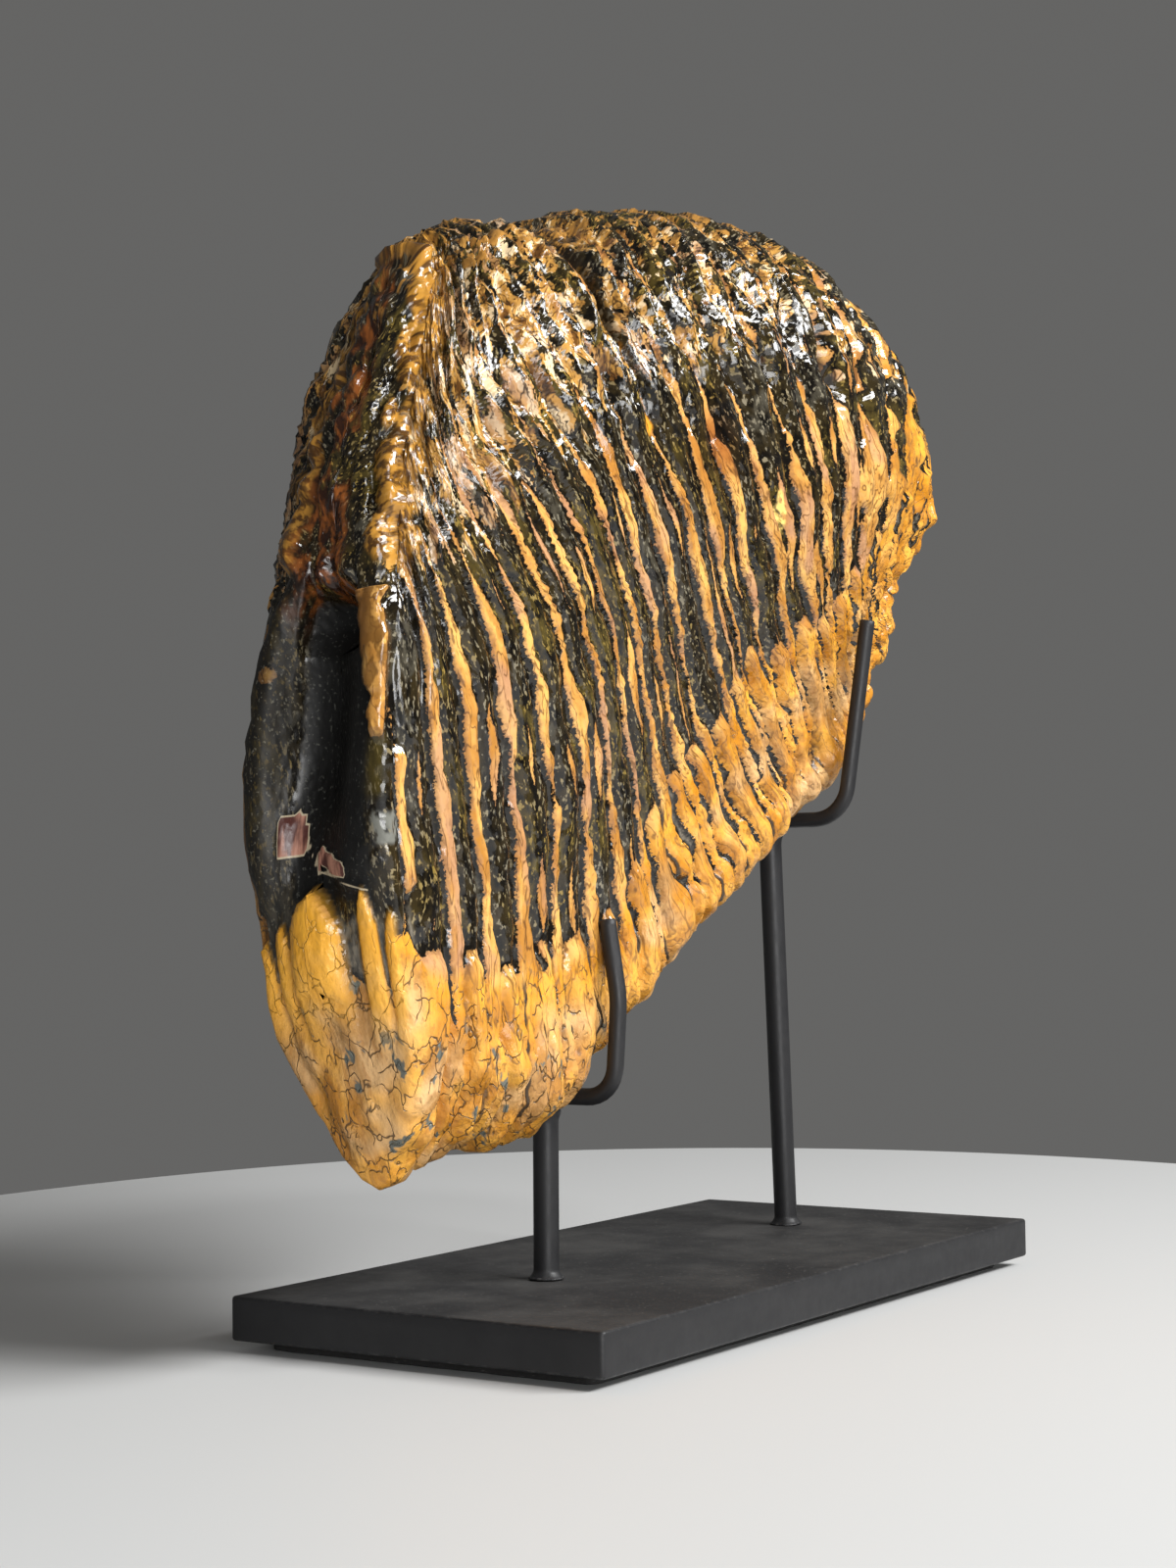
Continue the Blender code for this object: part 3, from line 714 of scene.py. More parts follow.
# Half widths of the strips, as shares of the space between two: below the middle, and above it.
LOW_WIDTHS = (
    0.12, 0.10, 0.13, 0.18, 0.09, 0.15, 0.10, 0.05, 0.12, 0.13, 0.10,
    0.13, 0.06, 0.10, 0.11, 0.15, 0.14, 0.20, 0.32, 0.38, 0.41, 0.43,
)
HIGH_WIDTHS = (
    0.12, 0.09, 0.11, 0.11, 0.10, 0.11, 0.10, 0.07, 0.10, 0.17, 0.10,
    0.06, 0.15, 0.15, 0.10, 0.10, 0.12, 0.20, 0.27, 0.33, 0.37, 0.41,
)
# How high the ochre of the root reaches between two strips, by strip number.
FINGER_TOPS = (
    (0, 0.262), (1, 0.235), (2, 0.218), (3.5, 0.215), (4.5, 0.18), (6, 0.19), (8, 0.24), (10, 0.265),
    (12, 0.315), (14, 0.33), (16, 0.35), (18, 0.42), (20, 0.54), (21, 0.62),
)
# The rise at which the dark gaps beside those fingers close.
GAP_ENDS = ((0, 0.21), (3, 0.18), (5, 0.14), (7, 0.06), (14, 0.05), (18, 0.12), (21, 0.30))
LAST_STRIP = len(STRIP_PLATES) - 1
BEYOND = 1.2  # plates from the outermost strips to the ones imagined beyond them


def strip_places(rises):
    """Plate number of every strip at each rise."""
    start = np.array(STRIP_PLATES, float)
    moves = np.stack([spline(start, SWEEP, column + 1) for column in range(len(SWEEP_RISES))])
    table = np.column_stack([SWEEP_RISES, moves])
    return np.stack([at + spline(rises, table, strip + 1) for strip, at in enumerate(start)])


def strip_number(plate, rises):
    """Strip number of a grid whose columns each have one rise. It goes on counting past both ends."""
    places = strip_places(rises)
    places = np.concatenate([places[:1] - BEYOND, places, places[-1:] + BEYOND])
    numbers = np.arange(len(places)) - 1.0
    columns = [np.interp(plate[:, step], places[:, step], numbers) for step in range(plate.shape[1])]
    return np.stack(columns, axis=1)


def strip_half_width(number, rise):
    """Half width of the nearest strip, in strip numbers."""
    nearest = np.clip(np.round(number), 0, LAST_STRIP).astype(int)
    low, high = np.array(LOW_WIDTHS)[nearest], np.array(HIGH_WIDTHS)[nearest]
    return low + (high - low) * smoothstep(0.4, 0.62, rise)


places = strip_places(np.array([0.8]))[:, 0]
print(LAST_STRIP + 1, "strips; at rise 0.8 they stand at plates", places.round(1))

# %% [markdown]
# ## Relief
# On a real tooth the relief comes in sizes. Largest are the bands and the strips between them. On
# the crown the bands break into rows of beads, and along the front ridge into stacked round knobs.
# Below, the root divides into fingers with creases between. Smallest is a grain of about a
# millimetre. Each size is a function that answers in mm of height, so that they simply add up.

# %% Heights of bands, strips and fingers
STRIP_SPACING, TOOTH_HEIGHT = 9.5, 200.0  # mm, to turn strip numbers and rises into lengths
NO_WIDTH = 0.001  # stands for the half width of a strip that has died out, in strip numbers
FINGER_TAPER = 3.2  # how fast a root's finger narrows towards its round tip
CREASE_AT = 0.2  # strip numbers from a strip to the crease beside it in the root


def noise_at(points, size, seed):
    """Smooth noise from about -1 to 1, whose lumps are about this many mm across."""
    flat = points.reshape(-1, points.shape[-1]) / size + seed
    return np.array([noise.noise(Vector(place)) for place in flat]).reshape(points.shape[:-1])


def knobs_at(points, size, seed):
    """Rounded knobs packed side by side: 1 at each knob's top, 0 in the creases between."""
    flat = points.reshape(-1, points.shape[-1]) / size + seed
    nearest = np.array([noise.voronoi(Vector(place))[0][0] for place in flat])
    return np.clip(1 - 1.4 * nearest.reshape(points.shape[:-1]) ** 2, 0, 1)


def along_flow(number, rise, across_tooth, tall=1.0):
    """Places in mm counted across the strips and up along them, with a third one through the tooth."""
    return np.stack([number * STRIP_SPACING, rise * TOOTH_HEIGHT * tall, across_tooth], -1)


def sliver_width(number, rise, side):
    """Half width, in strip numbers, of the short slivers of cement inside the bands. Under 0 for none."""
    own = np.stack([np.floor(number) * 5.7, rise * 9.0, 4.0 * side], -1)
    return 0.34 * noise_at(own, 1.0, 3.7) - 0.045


def band_relief(number, rise, half_width):
    """Convex bands, raised strips low down, and a groove on each side of a strip."""
    across = np.abs(number - np.round(number))
    crown = smoothstep(0.55, 0.8, rise)
    band = (1.7 + 2.0 * crown) * (np.sin(np.pi * across) ** 0.7 - 0.6)
    strip_edge = 1.15 * np.maximum(half_width, NO_WIDTH)
    strip = (1.7 - 1.7 * crown) * smoothstep(0, 0.03, half_width) * np.exp(-((across / strip_edge) ** 4))
    groove = (1.1 - 0.2 * crown) * bump(across, half_width + 0.1, 0.07) * smoothstep(-0.2, 0.6, number)
    return band + strip - groove


def root_relief(number, rise, tops):
    """Fingers of the root: rounded tips in the middle of each band, and creases between them."""
    across = np.abs(number - np.round(number))
    below = smoothstep(tops, tops - 0.02, rise + FINGER_TAPER * (0.5 - across) ** 4)
    fading = (1 - 0.5 * smoothstep(0.12, 0.02, rise)) * smoothstep(0.3, 1.0, number)
    crease = bump(across, CREASE_AT, 0.06) * fading
    return below * (0.4 + 1.2 * np.sin(np.pi * across) - 1.8 * crease)


middle = np.full((1, 1), 0.5)
print("band height in its middle, at half the rise:", band_relief(10 + middle, middle, 0.1).round(2), "mm")

# %% [markdown]
# Then come the things that happened to this one tooth. A cleft opens its crest, three slots and a
# small pit mark the near flank, and the rear edge has a lump, a hollow and a broken foot.

# %% Heights of single features
SLOTS = ((15.4, 0.80, 0.05), (16.25, 0.76, 0.05), (16.6, 0.70, 0.03))  # plate, rise, half length
PIT, REAR_LUMP, REAR_HOLLOW = (5.5, 0.878), (20.8, 0.435), (20.7, 0.22)  # plate and rise
BROKEN_FOOT = (15.9, 0.085)


def cleft_depth(plate, rise):
    """Depth of the cleft that opens the crest and runs down and back."""
    line = 8.5 + (1.0 - rise) * 5.2
    return 7.0 * bump(plate, line, 0.42 + 0.5 * smoothstep(0.9, 1.0, rise)) * smoothstep(0.76, 0.88, rise)


def slot_depth(plate, rise, side):
    """Depth of the narrow slots high on the near flank's rear half."""
    deep = sum(bump(plate, place, 0.2) * bump(rise, middle, length) for place, middle, length in SLOTS)
    return 4.5 * deep * (side < 0)


def pit_height(plate, rise, side):
    """The small round pit with a raised rim on the near flank."""
    away = np.hypot((plate - PIT[0]) * 9.0, (rise - PIT[1]) * 150.0)
    return (side < 0) * (1.0 * bump(away, 2.6, 0.8) - 2.6 * bump(away, 0, 1.7))


def rear_height(plate, rise, side):
    """A lump on the rear edge, the hollow under it, and the broken spot at the foot of the flank."""
    lump = 2.6 * bump(plate, REAR_LUMP[0], 0.6) * bump(rise, REAR_LUMP[1], 0.035)
    hollow = 5.0 * bump(plate, REAR_HOLLOW[0], 0.7) * bump(rise, REAR_HOLLOW[1], 0.045)
    broken = 3.5 * bump(plate, BROKEN_FOOT[0], 0.5) * bump(rise, BROKEN_FOOT[1], 0.03)
    return lump - (hollow + broken) * (side < 0)


print("single features:", len(SLOTS), "slots, a cleft, a pit, a lump, a hollow and a broken foot")

# %% [markdown]
# The front end is a broken face. A dark smooth hollow runs down it, with a ledge across its top, a
# raised ochre strip along its near edge, and the scars of two chips at its foot: one foursided,
# one a narrow step that runs down to the near edge. Under them stands one big finger of root.
# Across the face, a place is given from -1 at the near edge to 1 at the far edge.

# %% Heights of the front face
FACE_STRIP = (-0.80, 0.16, 0.468, 0.613)  # across, half width, lowest and highest rise
BIG_FINGER = (0.06, 0.35, 0.288)  # across, half width, rise of its tip
SMALL_FINGERS = ((-0.66, 0.12, 0.302), (-0.95, 0.10, 0.285), (0.60, 0.13, 0.262), (0.90, 0.10, 0.250))
FINGERS = (BIG_FINGER, *SMALL_FINGERS)
GAPS_END = 0.20  # the rise below which the fingers' gaps close
GLASSY_EDGE = ((0.36, 0.385), (0.04, 0.308), (-0.72, 0.304))  # across and rise along a chip's sharp edge
HALF_FACE = 18.0  # mm, to turn a place across the face into a length


def boxed(value, low, high, soft):
    """1 between low and high, falling to 0 over soft."""
    return smoothstep(low - soft, low, value) * smoothstep(high + soft, high, value)


def finger_away(across, rise, finger):
    """Distance from a finger's middle line, 1 at its flanks. It widens downwards."""
    middle, half, tip = finger
    return np.abs(across - middle) / (half * (1 + 1.1 * (tip - rise)))


def finger_shape(across, rise, finger):
    """1 on a finger of the root, with a round tip."""
    away = finger_away(across, rise, finger)
    below = smoothstep(finger[2] + 0.005, finger[2] - 0.005, rise + 0.04 * away**2)
    return smoothstep(1.08, 0.88, away) * below


def face_fingers(across, rise):
    """The root's fingers on the face, 0 to 1."""
    return np.max([finger_shape(across, rise, finger) for finger in FINGERS], axis=0)


def finger_heights(across, rise):
    """The rounded backs of the fingers, in mm."""
    backs = []
    for finger in FINGERS:
        back = np.sqrt(np.clip(1.0 - (finger_away(across, rise, finger) / 1.05) ** 2, 0, 1))
        backs.append(HALF_FACE * 0.75 * finger[1] * back * finger_shape(across, rise, finger))
    return np.max(backs, axis=0)


def far_from_line(across, rise, line):
    """Distance in mm from a bent line on the face."""
    to_mm = np.array((HALF_FACE, TOOTH_HEIGHT))
    place, line = np.stack([across, rise], -1) * to_mm, np.array(line) * to_mm
    found = []
    for start, run in zip(line, np.diff(line, axis=0)):
        part = ((place - start) @ run) / (run @ run)
        closest = start + np.clip(part, 0, 1)[..., None] * run
        found.append(np.linalg.norm(place - closest, axis=-1))
    return np.min(found, axis=0)


def face_scars(across, rise):
    """Above 0.5 on the scars where chips came away, and nearly 0.5 on the sharp edge beside them."""
    square = boxed(across, 0.23 + 1.6 * (rise - 0.333), 0.53, 0.03) * boxed(rise, 0.334, 0.381, 0.004)
    low, high = 0.318 + 0.012 * across, 0.336 + 0.03 * across
    small = boxed(across, -0.40, 0.02, 0.05) * boxed(rise, low, high, 0.004)
    edge = 0.45 * smoothstep(0.95, 0.35, far_from_line(across, rise, GLASSY_EDGE))
    return np.maximum.reduce([square, small, edge])


def face_strip(across, rise):
    """The raised ochre strip along the near edge of the face, 0 to 1."""
    middle, half, low, high = FACE_STRIP
    bent = middle - 0.10 * smoothstep(0.60, 0.49, rise)
    waver = noise_at(np.stack([rise, 0.1 * np.sign(across - bent), 0 * rise], -1), 0.016, 6.1)
    narrow = half * (0.85 + 0.40 * waver) * (0.45 + 0.55 * smoothstep(0.47, 0.53, rise))
    return smoothstep(1.25, 0.75, np.abs(across - bent) / narrow) * boxed(rise, low, high, 0.006)


def face_relief(across, rise, points):
    """Heights of the front face, in mm."""
    high = smoothstep(0.58, 0.66, rise)
    lumps = 2.6 * high * (knobs_at(points * (1.0, 1.0, 0.45), 4.6, 5.5) - 0.45)
    fibres = 1.1 * high * noise_at(points * (1.0, 1.0, 0.2), 2.0, 9.1)
    ledge = smoothstep(0.556, 0.566, rise) * smoothstep(0.65, 0.60, rise)
    pocket = -7.0 * ledge * boxed(across, -0.48, 0.40, 0.12)
    rim = 1.8 * bump(across, 0.76, 0.14) * boxed(rise, 0.30, 0.60, 0.03)
    trough = -1.6 * bump(across, 0.34, 0.16) * boxed(rise, 0.32, 0.52, 0.05)
    crack = -1.2 * bump(rise, 0.532 + 0.03 * across, 0.0035) * bump(across, FACE_STRIP[0], 0.2)
    split = -1.6 * bump(rise, 0.168 + 0.02 * across, 0.004) * bump(across, BIG_FINGER[0], 0.35)
    roots = (finger_heights(across, rise) - 1.0) * smoothstep(0.10, 0.2, rise) * smoothstep(0.34, 0.29, rise)
    scars = 1.4 * np.minimum(face_scars(across, rise), 0.5)
    strip = 3.0 * face_strip(across, rise)
    return sum((fibres, pocket, rim, trough, crack, split, roots, scars, strip), lumps)


print("face strip at its middle:", face_strip(np.array([-0.86]), np.array([0.54])).round(2))

# %% [markdown]
# ## The tooth's skin
# The skin is a grid of rings. A ring climbs the near flank and comes down the far one, and the
# rings march from the front face along every plate to the rear face. The near flank gets twice the
# points of the far one. Each end face closes on a line, where its near and far halves meet. All the
# heights are summed and laid off along the smooth surface's normals.

# %% Lay out the grid
NEAR_STEPS, FAR_STEPS, RINGS_PER_PLATE = 200, 100, 13
FRONT_RINGS, REAR_RINGS = 34, 20
FAR_SHIFT = 0.45  # the far flank's strips stand this many plates off the near flank's


def ring_places():
    """Plate number and inset of each ring, from the front face to the rear face."""
    front, rear = (
        np.sin(np.linspace(0, math.pi / 2, rings, endpoint=False)) for rings in (FRONT_RINGS, REAR_RINGS)
    )
    flank = np.linspace(0, LAST_PLATE, LAST_PLATE * RINGS_PER_PLATE + 1)
    plates = np.concatenate([np.zeros(FRONT_RINGS), flank, np.full(REAR_RINGS, float(LAST_PLATE))])
    return plates, np.concatenate([front, np.ones(len(flank)), rear[::-1]])


def climb(steps):
    """Rises from 0 to 1, a little closer together at both ends."""
    part = np.arange(steps + 1) / steps
    return 0.75 * part + 0.25 * (0.5 - 0.5 * np.cos(np.pi * part))


def ring_steps():
    """Rise and side of each point of a ring."""
    rise = np.concatenate([climb(NEAR_STEPS), climb(FAR_STEPS)[-2:0:-1]])
    return rise, np.where(np.arange(len(rise)) <= NEAR_STEPS, -1.0, 1.0)


ring_plate, ring_inset = ring_places()
step_rise, step_side = ring_steps()
plate, rise = np.meshgrid(ring_plate, step_rise, indexing="ij")
inset, side = np.meshgrid(ring_inset, step_side, indexing="ij")
print("rings", plate.shape[0], "x", plate.shape[1], "points")

# %% [markdown]
# A strip wavers, swells and pinches as it climbs, and so does the tip of each finger. Noises that
# follow the strips do this before the heights are added, so that paint and relief agree. A strip
# is hardly wider than the space between two rings, so at each rise the ring nearest a strip is
# moved onto its middle: a crest that always has points on it runs clean.

# %% Lay the rings on the strips
def on_strips(plate, shift):
    """Plate numbers with one ring at each rise moved onto the middle of each strip."""
    moved = plate.copy()
    last = LAST_PLATE * RINGS_PER_PLATE
    for step, places in enumerate(strip_places(step_rise).T):
        for place in places:
            ring = np.clip(round(place * RINGS_PER_PLATE), 0, last)
            ring = round((place - shift[FRONT_RINGS + ring, step]) * RINGS_PER_PLATE)
            if 0 < ring < last:
                moved[FRONT_RINGS + ring, step] = place - shift[FRONT_RINGS + ring, step]
    return moved


smooth = smooth_surface(plate, rise, side, inset)
waviness = 0.16 * noise_at(smooth * (1.0, 1.0, 0.6), 11.0, 4.4) + 0.05 * noise_at(smooth, 4.5, 6.6)
shift = waviness + FAR_SHIFT * (side > 0)
plate = on_strips(plate, shift)
smooth = smooth_surface(plate, rise, side, inset)
along = np.gradient(smooth, axis=0)
around = np.roll(smooth, -1, axis=1) - np.roll(smooth, 1, axis=1)
normal = unit(np.cross(along, around))
number = strip_number(plate + shift, step_rise)
print("strip numbers run from", number.min().round(1), "to", number.max().round(1))

# %% Widths of the strips and tops of the fingers
FIRST_STRIP = ((0.31, 0.44, 0.012), (0.565, 0.62, 0.01))  # its two stretches: low, high, softness

nearest = np.round(number)
across = np.abs(number - nearest)
own = np.stack([nearest * 7.3, rise * TOOTH_HEIGHT, 9.0 * side], -1)
swelling = 1 + 1.05 * noise_at(own, 17.0, 8.2) + 0.50 * noise_at(own, 5.0, 3.3)
half_width = strip_half_width(number, rise) * np.clip(swelling, 0.2, 2.2)
first_strip = sum(boxed(rise, *stretch) for stretch in FIRST_STRIP)
half_width = np.where((nearest == 0) & (side < 0), half_width * first_strip, half_width)
sliver = sliver_width(number, rise, side)
tops = spline(np.clip(number, 0, LAST_STRIP), FINGER_TOPS, 1)
tops = tops + 0.03 * noise_at(np.stack([np.floor(number) * 3.7, side, 0 * side], -1), 1.0, 0.5)
tops = tops + smoothstep(0.60, 0.30, plate) * (FINGER_TAPER * (0.5 - across) ** 4 + 0.012)
print("fingers reach from rise", tops.min().round(2), "to", tops.max().round(2))

# %% [markdown]
# Each kind of relief belongs to a part of the tooth. These parts fade into each other, and are
# worked out once, as shares from 0 to 1, because the paint asks for the same ones.

# %% The parts of the tooth
across_face = side * inset
flank = smoothstep(0.75, 0.98, inset)
face_share = smoothstep(1.0, 0.93, inset) * (plate < 1)
rear_face = (1 - flank) * (plate > 1)
rear = smoothstep(17.5, 20.0, plate)
before_cleft = smoothstep(10.5, 8.5, plate)
to_front = smoothstep(8.0, 2.0, plate)
crown = smoothstep(0.60 - 0.08 * to_front, 0.80 - 0.13 * to_front, rise)
crest = smoothstep(0.90, 0.97, rise)
front_ridge = bump(plate, 0.0, 1.7) * smoothstep(0.61, 0.67, rise) * smoothstep(0.55, 0.85, inset)
print("share of the points on the crown:", crown.mean().round(2))

# %% Beads, knobs and ridges of the crown
beads = knobs_at(along_flow(number, rise, 50.0 * side, 0.30), 3.0, 2.7)
streaked = 1 - 2 * np.abs(noise_at(along_flow(number, rise, 50.0 * side, 0.16), 2.6, 4.9))
balls, crest_knobs = knobs_at(smooth, 7.5, 3.1), knobs_at(smooth, 4.3, 8.8)
calm = 1 - 0.6 * rear
bead_share = crown * calm * (1 - front_ridge) * (0.12 + 0.88 * before_cleft)
twice = np.abs(np.sin(2 * np.pi * number)) ** 0.7 - 0.6
bead_heights = bead_share * (2.2 * beads - 1.1) + 1.5 * crown * (1 - before_cleft) * calm * twice
bead_heights = bead_heights + crown * (1 - front_ridge) * (1.7 * streaked - 1.0)
crest_share = crest * (1 - 0.5 * rear) * (0.4 + 0.6 * before_cleft)
bead_heights = bead_heights + crest_share * (2.4 * crest_knobs - 1.4)
print("beads from", bead_heights.min().round(1), "to", bead_heights.max().round(1), "mm")

# %% Add the heights together
half_width = half_width * (1 - 0.75 * before_cleft * smoothstep(0.68, 0.80, rise))
band_heights = band_relief(number, rise, half_width) * (1 - 0.45 * rear) * (1 - 0.8 * front_ridge)
lower = smooth * (1, 1, 0.6)
wrinkles = smoothstep(0.22, 0.05, rise) + rear * smoothstep(0.5, 0.25, rise)
wrinkle_heights = wrinkles * (1.7 * noise_at(smooth, 9.0, 7.7) + 0.8 * noise_at(lower, 3.5, 1.9))
rear_lumps = rear * (1.6 * noise_at(lower, 9.0, 5.9) + 0.6 * noise_at(smooth, 3.0, 1.1))
strip_grain = noise_at(along_flow(number, rise, 0 * rise, 0.15), 1.6, 2.2)
damage = cleft_depth(plate, rise) + slot_depth(plate, rise, side)

flank_heights = band_heights + bead_heights + root_relief(number, rise, tops) - damage + rear_lumps
flank_heights = flank_heights + (0.30 + 0.25 * crown) * strip_grain + pit_height(plate, rise, side)
flank_heights = flank_heights + rear_height(plate, rise, side)
heights = flank * flank_heights + face_share * face_relief(across_face, rise, smooth)
heights = heights + rear_face * 1.5 * noise_at(smooth, 6.0, 2.0) + front_ridge * (5.2 * balls - 2.2)
heights = heights + wrinkle_heights + 0.2 * noise_at(smooth, 1.9, 7.1) + 0.9 * noise_at(smooth, 22.0, 1.3)
print("relief from", round(heights.min(), 2), "to", round(heights.max(), 2), "mm")

# %% [markdown]
# Where the rods bear, the tooth was padded clear of them, and nothing of it may pass through the
# steel. So each point near a rod is moved straight out of it, to a skin's width beyond.

# %% Make room for the rods
CLEAR, SEARCH = 0.4, 2.0  # mm left free round a rod, and how far outside its box points are looked for
FINE_SPACING = 0.8  # mm between the points of the line that they are measured from


def push_clear(points, line, radius):
    """Points moved out of a round bar along its centre line."""
    low, high = line.min(axis=0) - radius - SEARCH, line.max(axis=0) + radius + SEARCH
    nearby = np.flatnonzero(((points > low) & (points < high)).all(axis=1))
    closest = np.linalg.norm(points[nearby][:, None] - line[None], axis=2).argmin(axis=1)
    away = points[nearby] - line[closest]
    tangent = unit(np.gradient(line, axis=0))[closest]
    away = away - tangent * (away * tangent).sum(axis=1, keepdims=True)
    distance = np.linalg.norm(away, axis=1, keepdims=True)
    grown = np.maximum(distance, radius + CLEAR)
    moved = points.copy()
    moved[nearby] += away / np.maximum(distance, 1e-6) * (grown - distance)
    return moved


skin = (smooth + normal * heights[..., None]).reshape(-1, 3)
for rod_x, _, _, arm in RODS.values():
    skin = push_clear(skin, cradle_line(rod_x, arm, FINE_SPACING), ROD_RADIUS)
assert np.isfinite(skin).all(), "some points of the skin have no place"
print("skin spans", skin.min(axis=0).round(1), "to", skin.max(axis=0).round(1), "mm")

# %% [markdown]
# ## Masks for the paint
# The paint needs to know what each point is: strip or band, root or crown, hollow or scar. The
# answers are stored on the points as plain numbers. Where a border has to be crisp, as between a
# strip and a band, the stored number passes smoothly through 0 there, and the material cuts it at
# 0 after roughening it with a fine noise. The places along the strips are stored too, so that
# streaks and beads in the paint can follow the same sweep.

# %% Where the masks come from
BORDER_STRETCH = 3.0  # mm up a strip that count as one across it, as the border's noise is drawn out
NOT_HERE = -0.4  # well outside the ochre, in strip numbers
# Spots on the near flank, of another colour or of painted light and shade: plate, rise, reach in plates,
# reach in rise.
SPOTS = {
    "stain": ((12.65, 0.635, 0.8, 0.06),),
    "orange": ((9.4, 0.80, 0.35, 0.018), (10.15, 0.69, 0.30, 0.02)),
    "yellow": ((14.25, 0.51, 0.15, 0.040),),
    # grey: a painted highlight, the sheen of a glossy spot painted as grey
    "grey": ((0.0, 0.37, 0.28, 0.020),),
    # broken: painted shade, a dark brown laid in the hollow of the broken foot
    "broken": ((*BROKEN_FOOT, 0.45, 0.028),),
}


def face_ochre(across, rise):
    """Above 0 on the ochre of the front face, below 0 on its enamel."""
    chip = 2 * bump(across, 0.78, 0.13) * bump(rise, 0.535, 0.012) - 1
    shapes = np.maximum(face_fingers(across, rise), face_strip(across, rise)) * 2 - 1
    low_root = (GAPS_END - rise) * TOOTH_HEIGHT / BORDER_STRETCH
    return np.clip(np.maximum.reduce([shapes, chip, low_root]), -3, 3)


def mark(middle_plate, middle_rise, wide, tall):
    """A spot on the near flank, 1 in its middle."""
    return flank * (side < 0) * bump(plate, middle_plate, wide) * bump(rise, middle_rise, tall)


def outside(share, value, other):
    """The value where the share is 1, and the other where it is 0."""
    return share * value + (1 - share) * other


fingers = face_fingers(across_face, rise)
fibres = boxed(across_face, -0.15, 0.62, 0.2) * boxed(rise, 0.62, 0.97, 0.05)
hollow_zone = boxed(across_face, -0.75, 0.35, 0.12) * boxed(rise, 0.29, 0.60, 0.015)
outer_zone = boxed(rise, 0.24, 0.62, 0.04) * smoothstep(0.35, 0.6, across_face)
narrowed = 1.12 * half_width * (1 - 0.45 * crown * (1 - 0.7 * rear)) * (1 - front_ridge)
root_inset = smoothstep(0.80, 0.88, inset)
gap_end = spline(np.clip(number, 0, LAST_STRIP), GAP_ENDS, 1)
gap_share = smoothstep(-0.02, 0.35, (rise - gap_end) / (tops - gap_end)) * smoothstep(0.6, 1.8, plate)
root_top = np.minimum(tops, 0.30 + 0.4 * (plate > 2))
fleck_noise = noise_at(along_flow(number, rise, smooth[..., 1], 0.45), 2.6, 6.2)
flecked = (0.85 - 0.8 * streaked) * (0.62 + 0.38 * before_cleft) - 0.27 + 0.12 * fleck_noise
print("flecks cover", (flecked[crown > 0.9] > 0).mean().round(2), "of the crown")

# %% The masks
masks = {
    "half": outside(flank, narrowed - 0.03 * front_ridge, NOT_HERE),
    "sliver": outside(flank, sliver * (1 - 0.7 * crown), NOT_HERE),
    "finger": np.clip(outside(root_inset, (tops - rise) * TOOTH_HEIGHT / BORDER_STRETCH, -6), -6, 16),
    "gap": -0.2 * smoothstep(1.5, 0.7, plate) + 0.10 * gap_share - 0.03,
    "creased": flank * smoothstep(0.8, 2.5, plate),
    "netted": smoothstep(8.0, 5.5, plate),
    "face": outside(face_share, face_ochre(across_face, rise), -3) + 6 * rear_face,
    "root": smoothstep(root_top + 0.02, root_top - 0.12, rise),
    "crown": crown,
    "height": heights,
    "beads": outside(flank * crown, flecked, -1),
    "red": face_share * fibres,
    **{name: sum(mark(*place) for place in places) for name, places in SPOTS.items()},
    "scar": face_share * face_scars(across_face, rise),
    "dull": face_share * hollow_zone * (1 - fingers),
    "outer": face_share * (1 - fingers) * outer_zone,
    "strip": face_share * face_strip(across_face, rise),
    # painted light on the root fingers of the front face
    "painted_finger_light": face_share * fingers * smoothstep(0.12, 0.19, rise),
    "gloss": face_share * bump(across_face, -0.93, 0.12) * boxed(rise, 0.41, 0.462, 0.01),
    "rear": rear,
    "ridge": front_ridge * balls,
    "crest": crest * crest_knobs,
}
print("masks:", ", ".join(masks))

# %% Stitch the skin
def skin_faces(rings, around):
    """Faces between neighbouring rings, with three or four corners. The end rings fold onto a line."""
    ring, step = np.meshgrid(np.arange(rings), np.arange(around), indexing="ij")
    mirrored = NEAR_STEPS - (step - NEAR_STEPS) * NEAR_STEPS // FAR_STEPS
    folded = np.where(step <= NEAR_STEPS, step, mirrored)
    ends = (ring == 0) | (ring == rings - 1)
    index = ring * around + np.where(ends, folded, step)
    after = np.roll(index, -1, axis=1)
    corners = np.stack([index[:-1], after[:-1], after[1:], index[1:]], -1).reshape(-1, 4)
    faces = [list(dict.fromkeys(face)) for face in corners.tolist()]
    return [face for face in faces if len(face) > 2]


def store(mesh, name, kind, key, values):
    """Numbers stored on a mesh's points under a name."""
    layer = mesh.attributes.new(name, kind, "POINT")
    layer.data.foreach_set(key, values.reshape(-1).astype(np.float32))


def build_skin():
    """The tooth's mesh, with its masks stored on the points."""
    mesh = bpy.data.meshes.new("tooth")
    mesh.from_pydata(((skin + (0, 0, PLATE_TOP)) * MM).tolist(), [], skin_faces(*plate.shape))
    mesh.shade_smooth()
    for name, values in masks.items():
        store(mesh, name, "FLOAT", "value", values)
    flow = along_flow(number, rise, smooth[..., 1]) * MM
    store(mesh, "flow", "FLOAT_VECTOR", "vector", flow)
    return mesh


tooth_mesh = build_skin()
print("tooth:", len(tooth_mesh.polygons), "faces")

# %% [markdown]
# ## Shader groups for the tooth
# Four effects serve several of the tooth's colours and heights. Mottling scatters blotches and
# flecks at the scale of a millimetre. Streaks are thin lines that follow the strips. Cracks are the
# edges between the cells of a Voronoi pattern, bent by a noise so that they wander. Grain is a
# height for the bump: round granules with creases between.

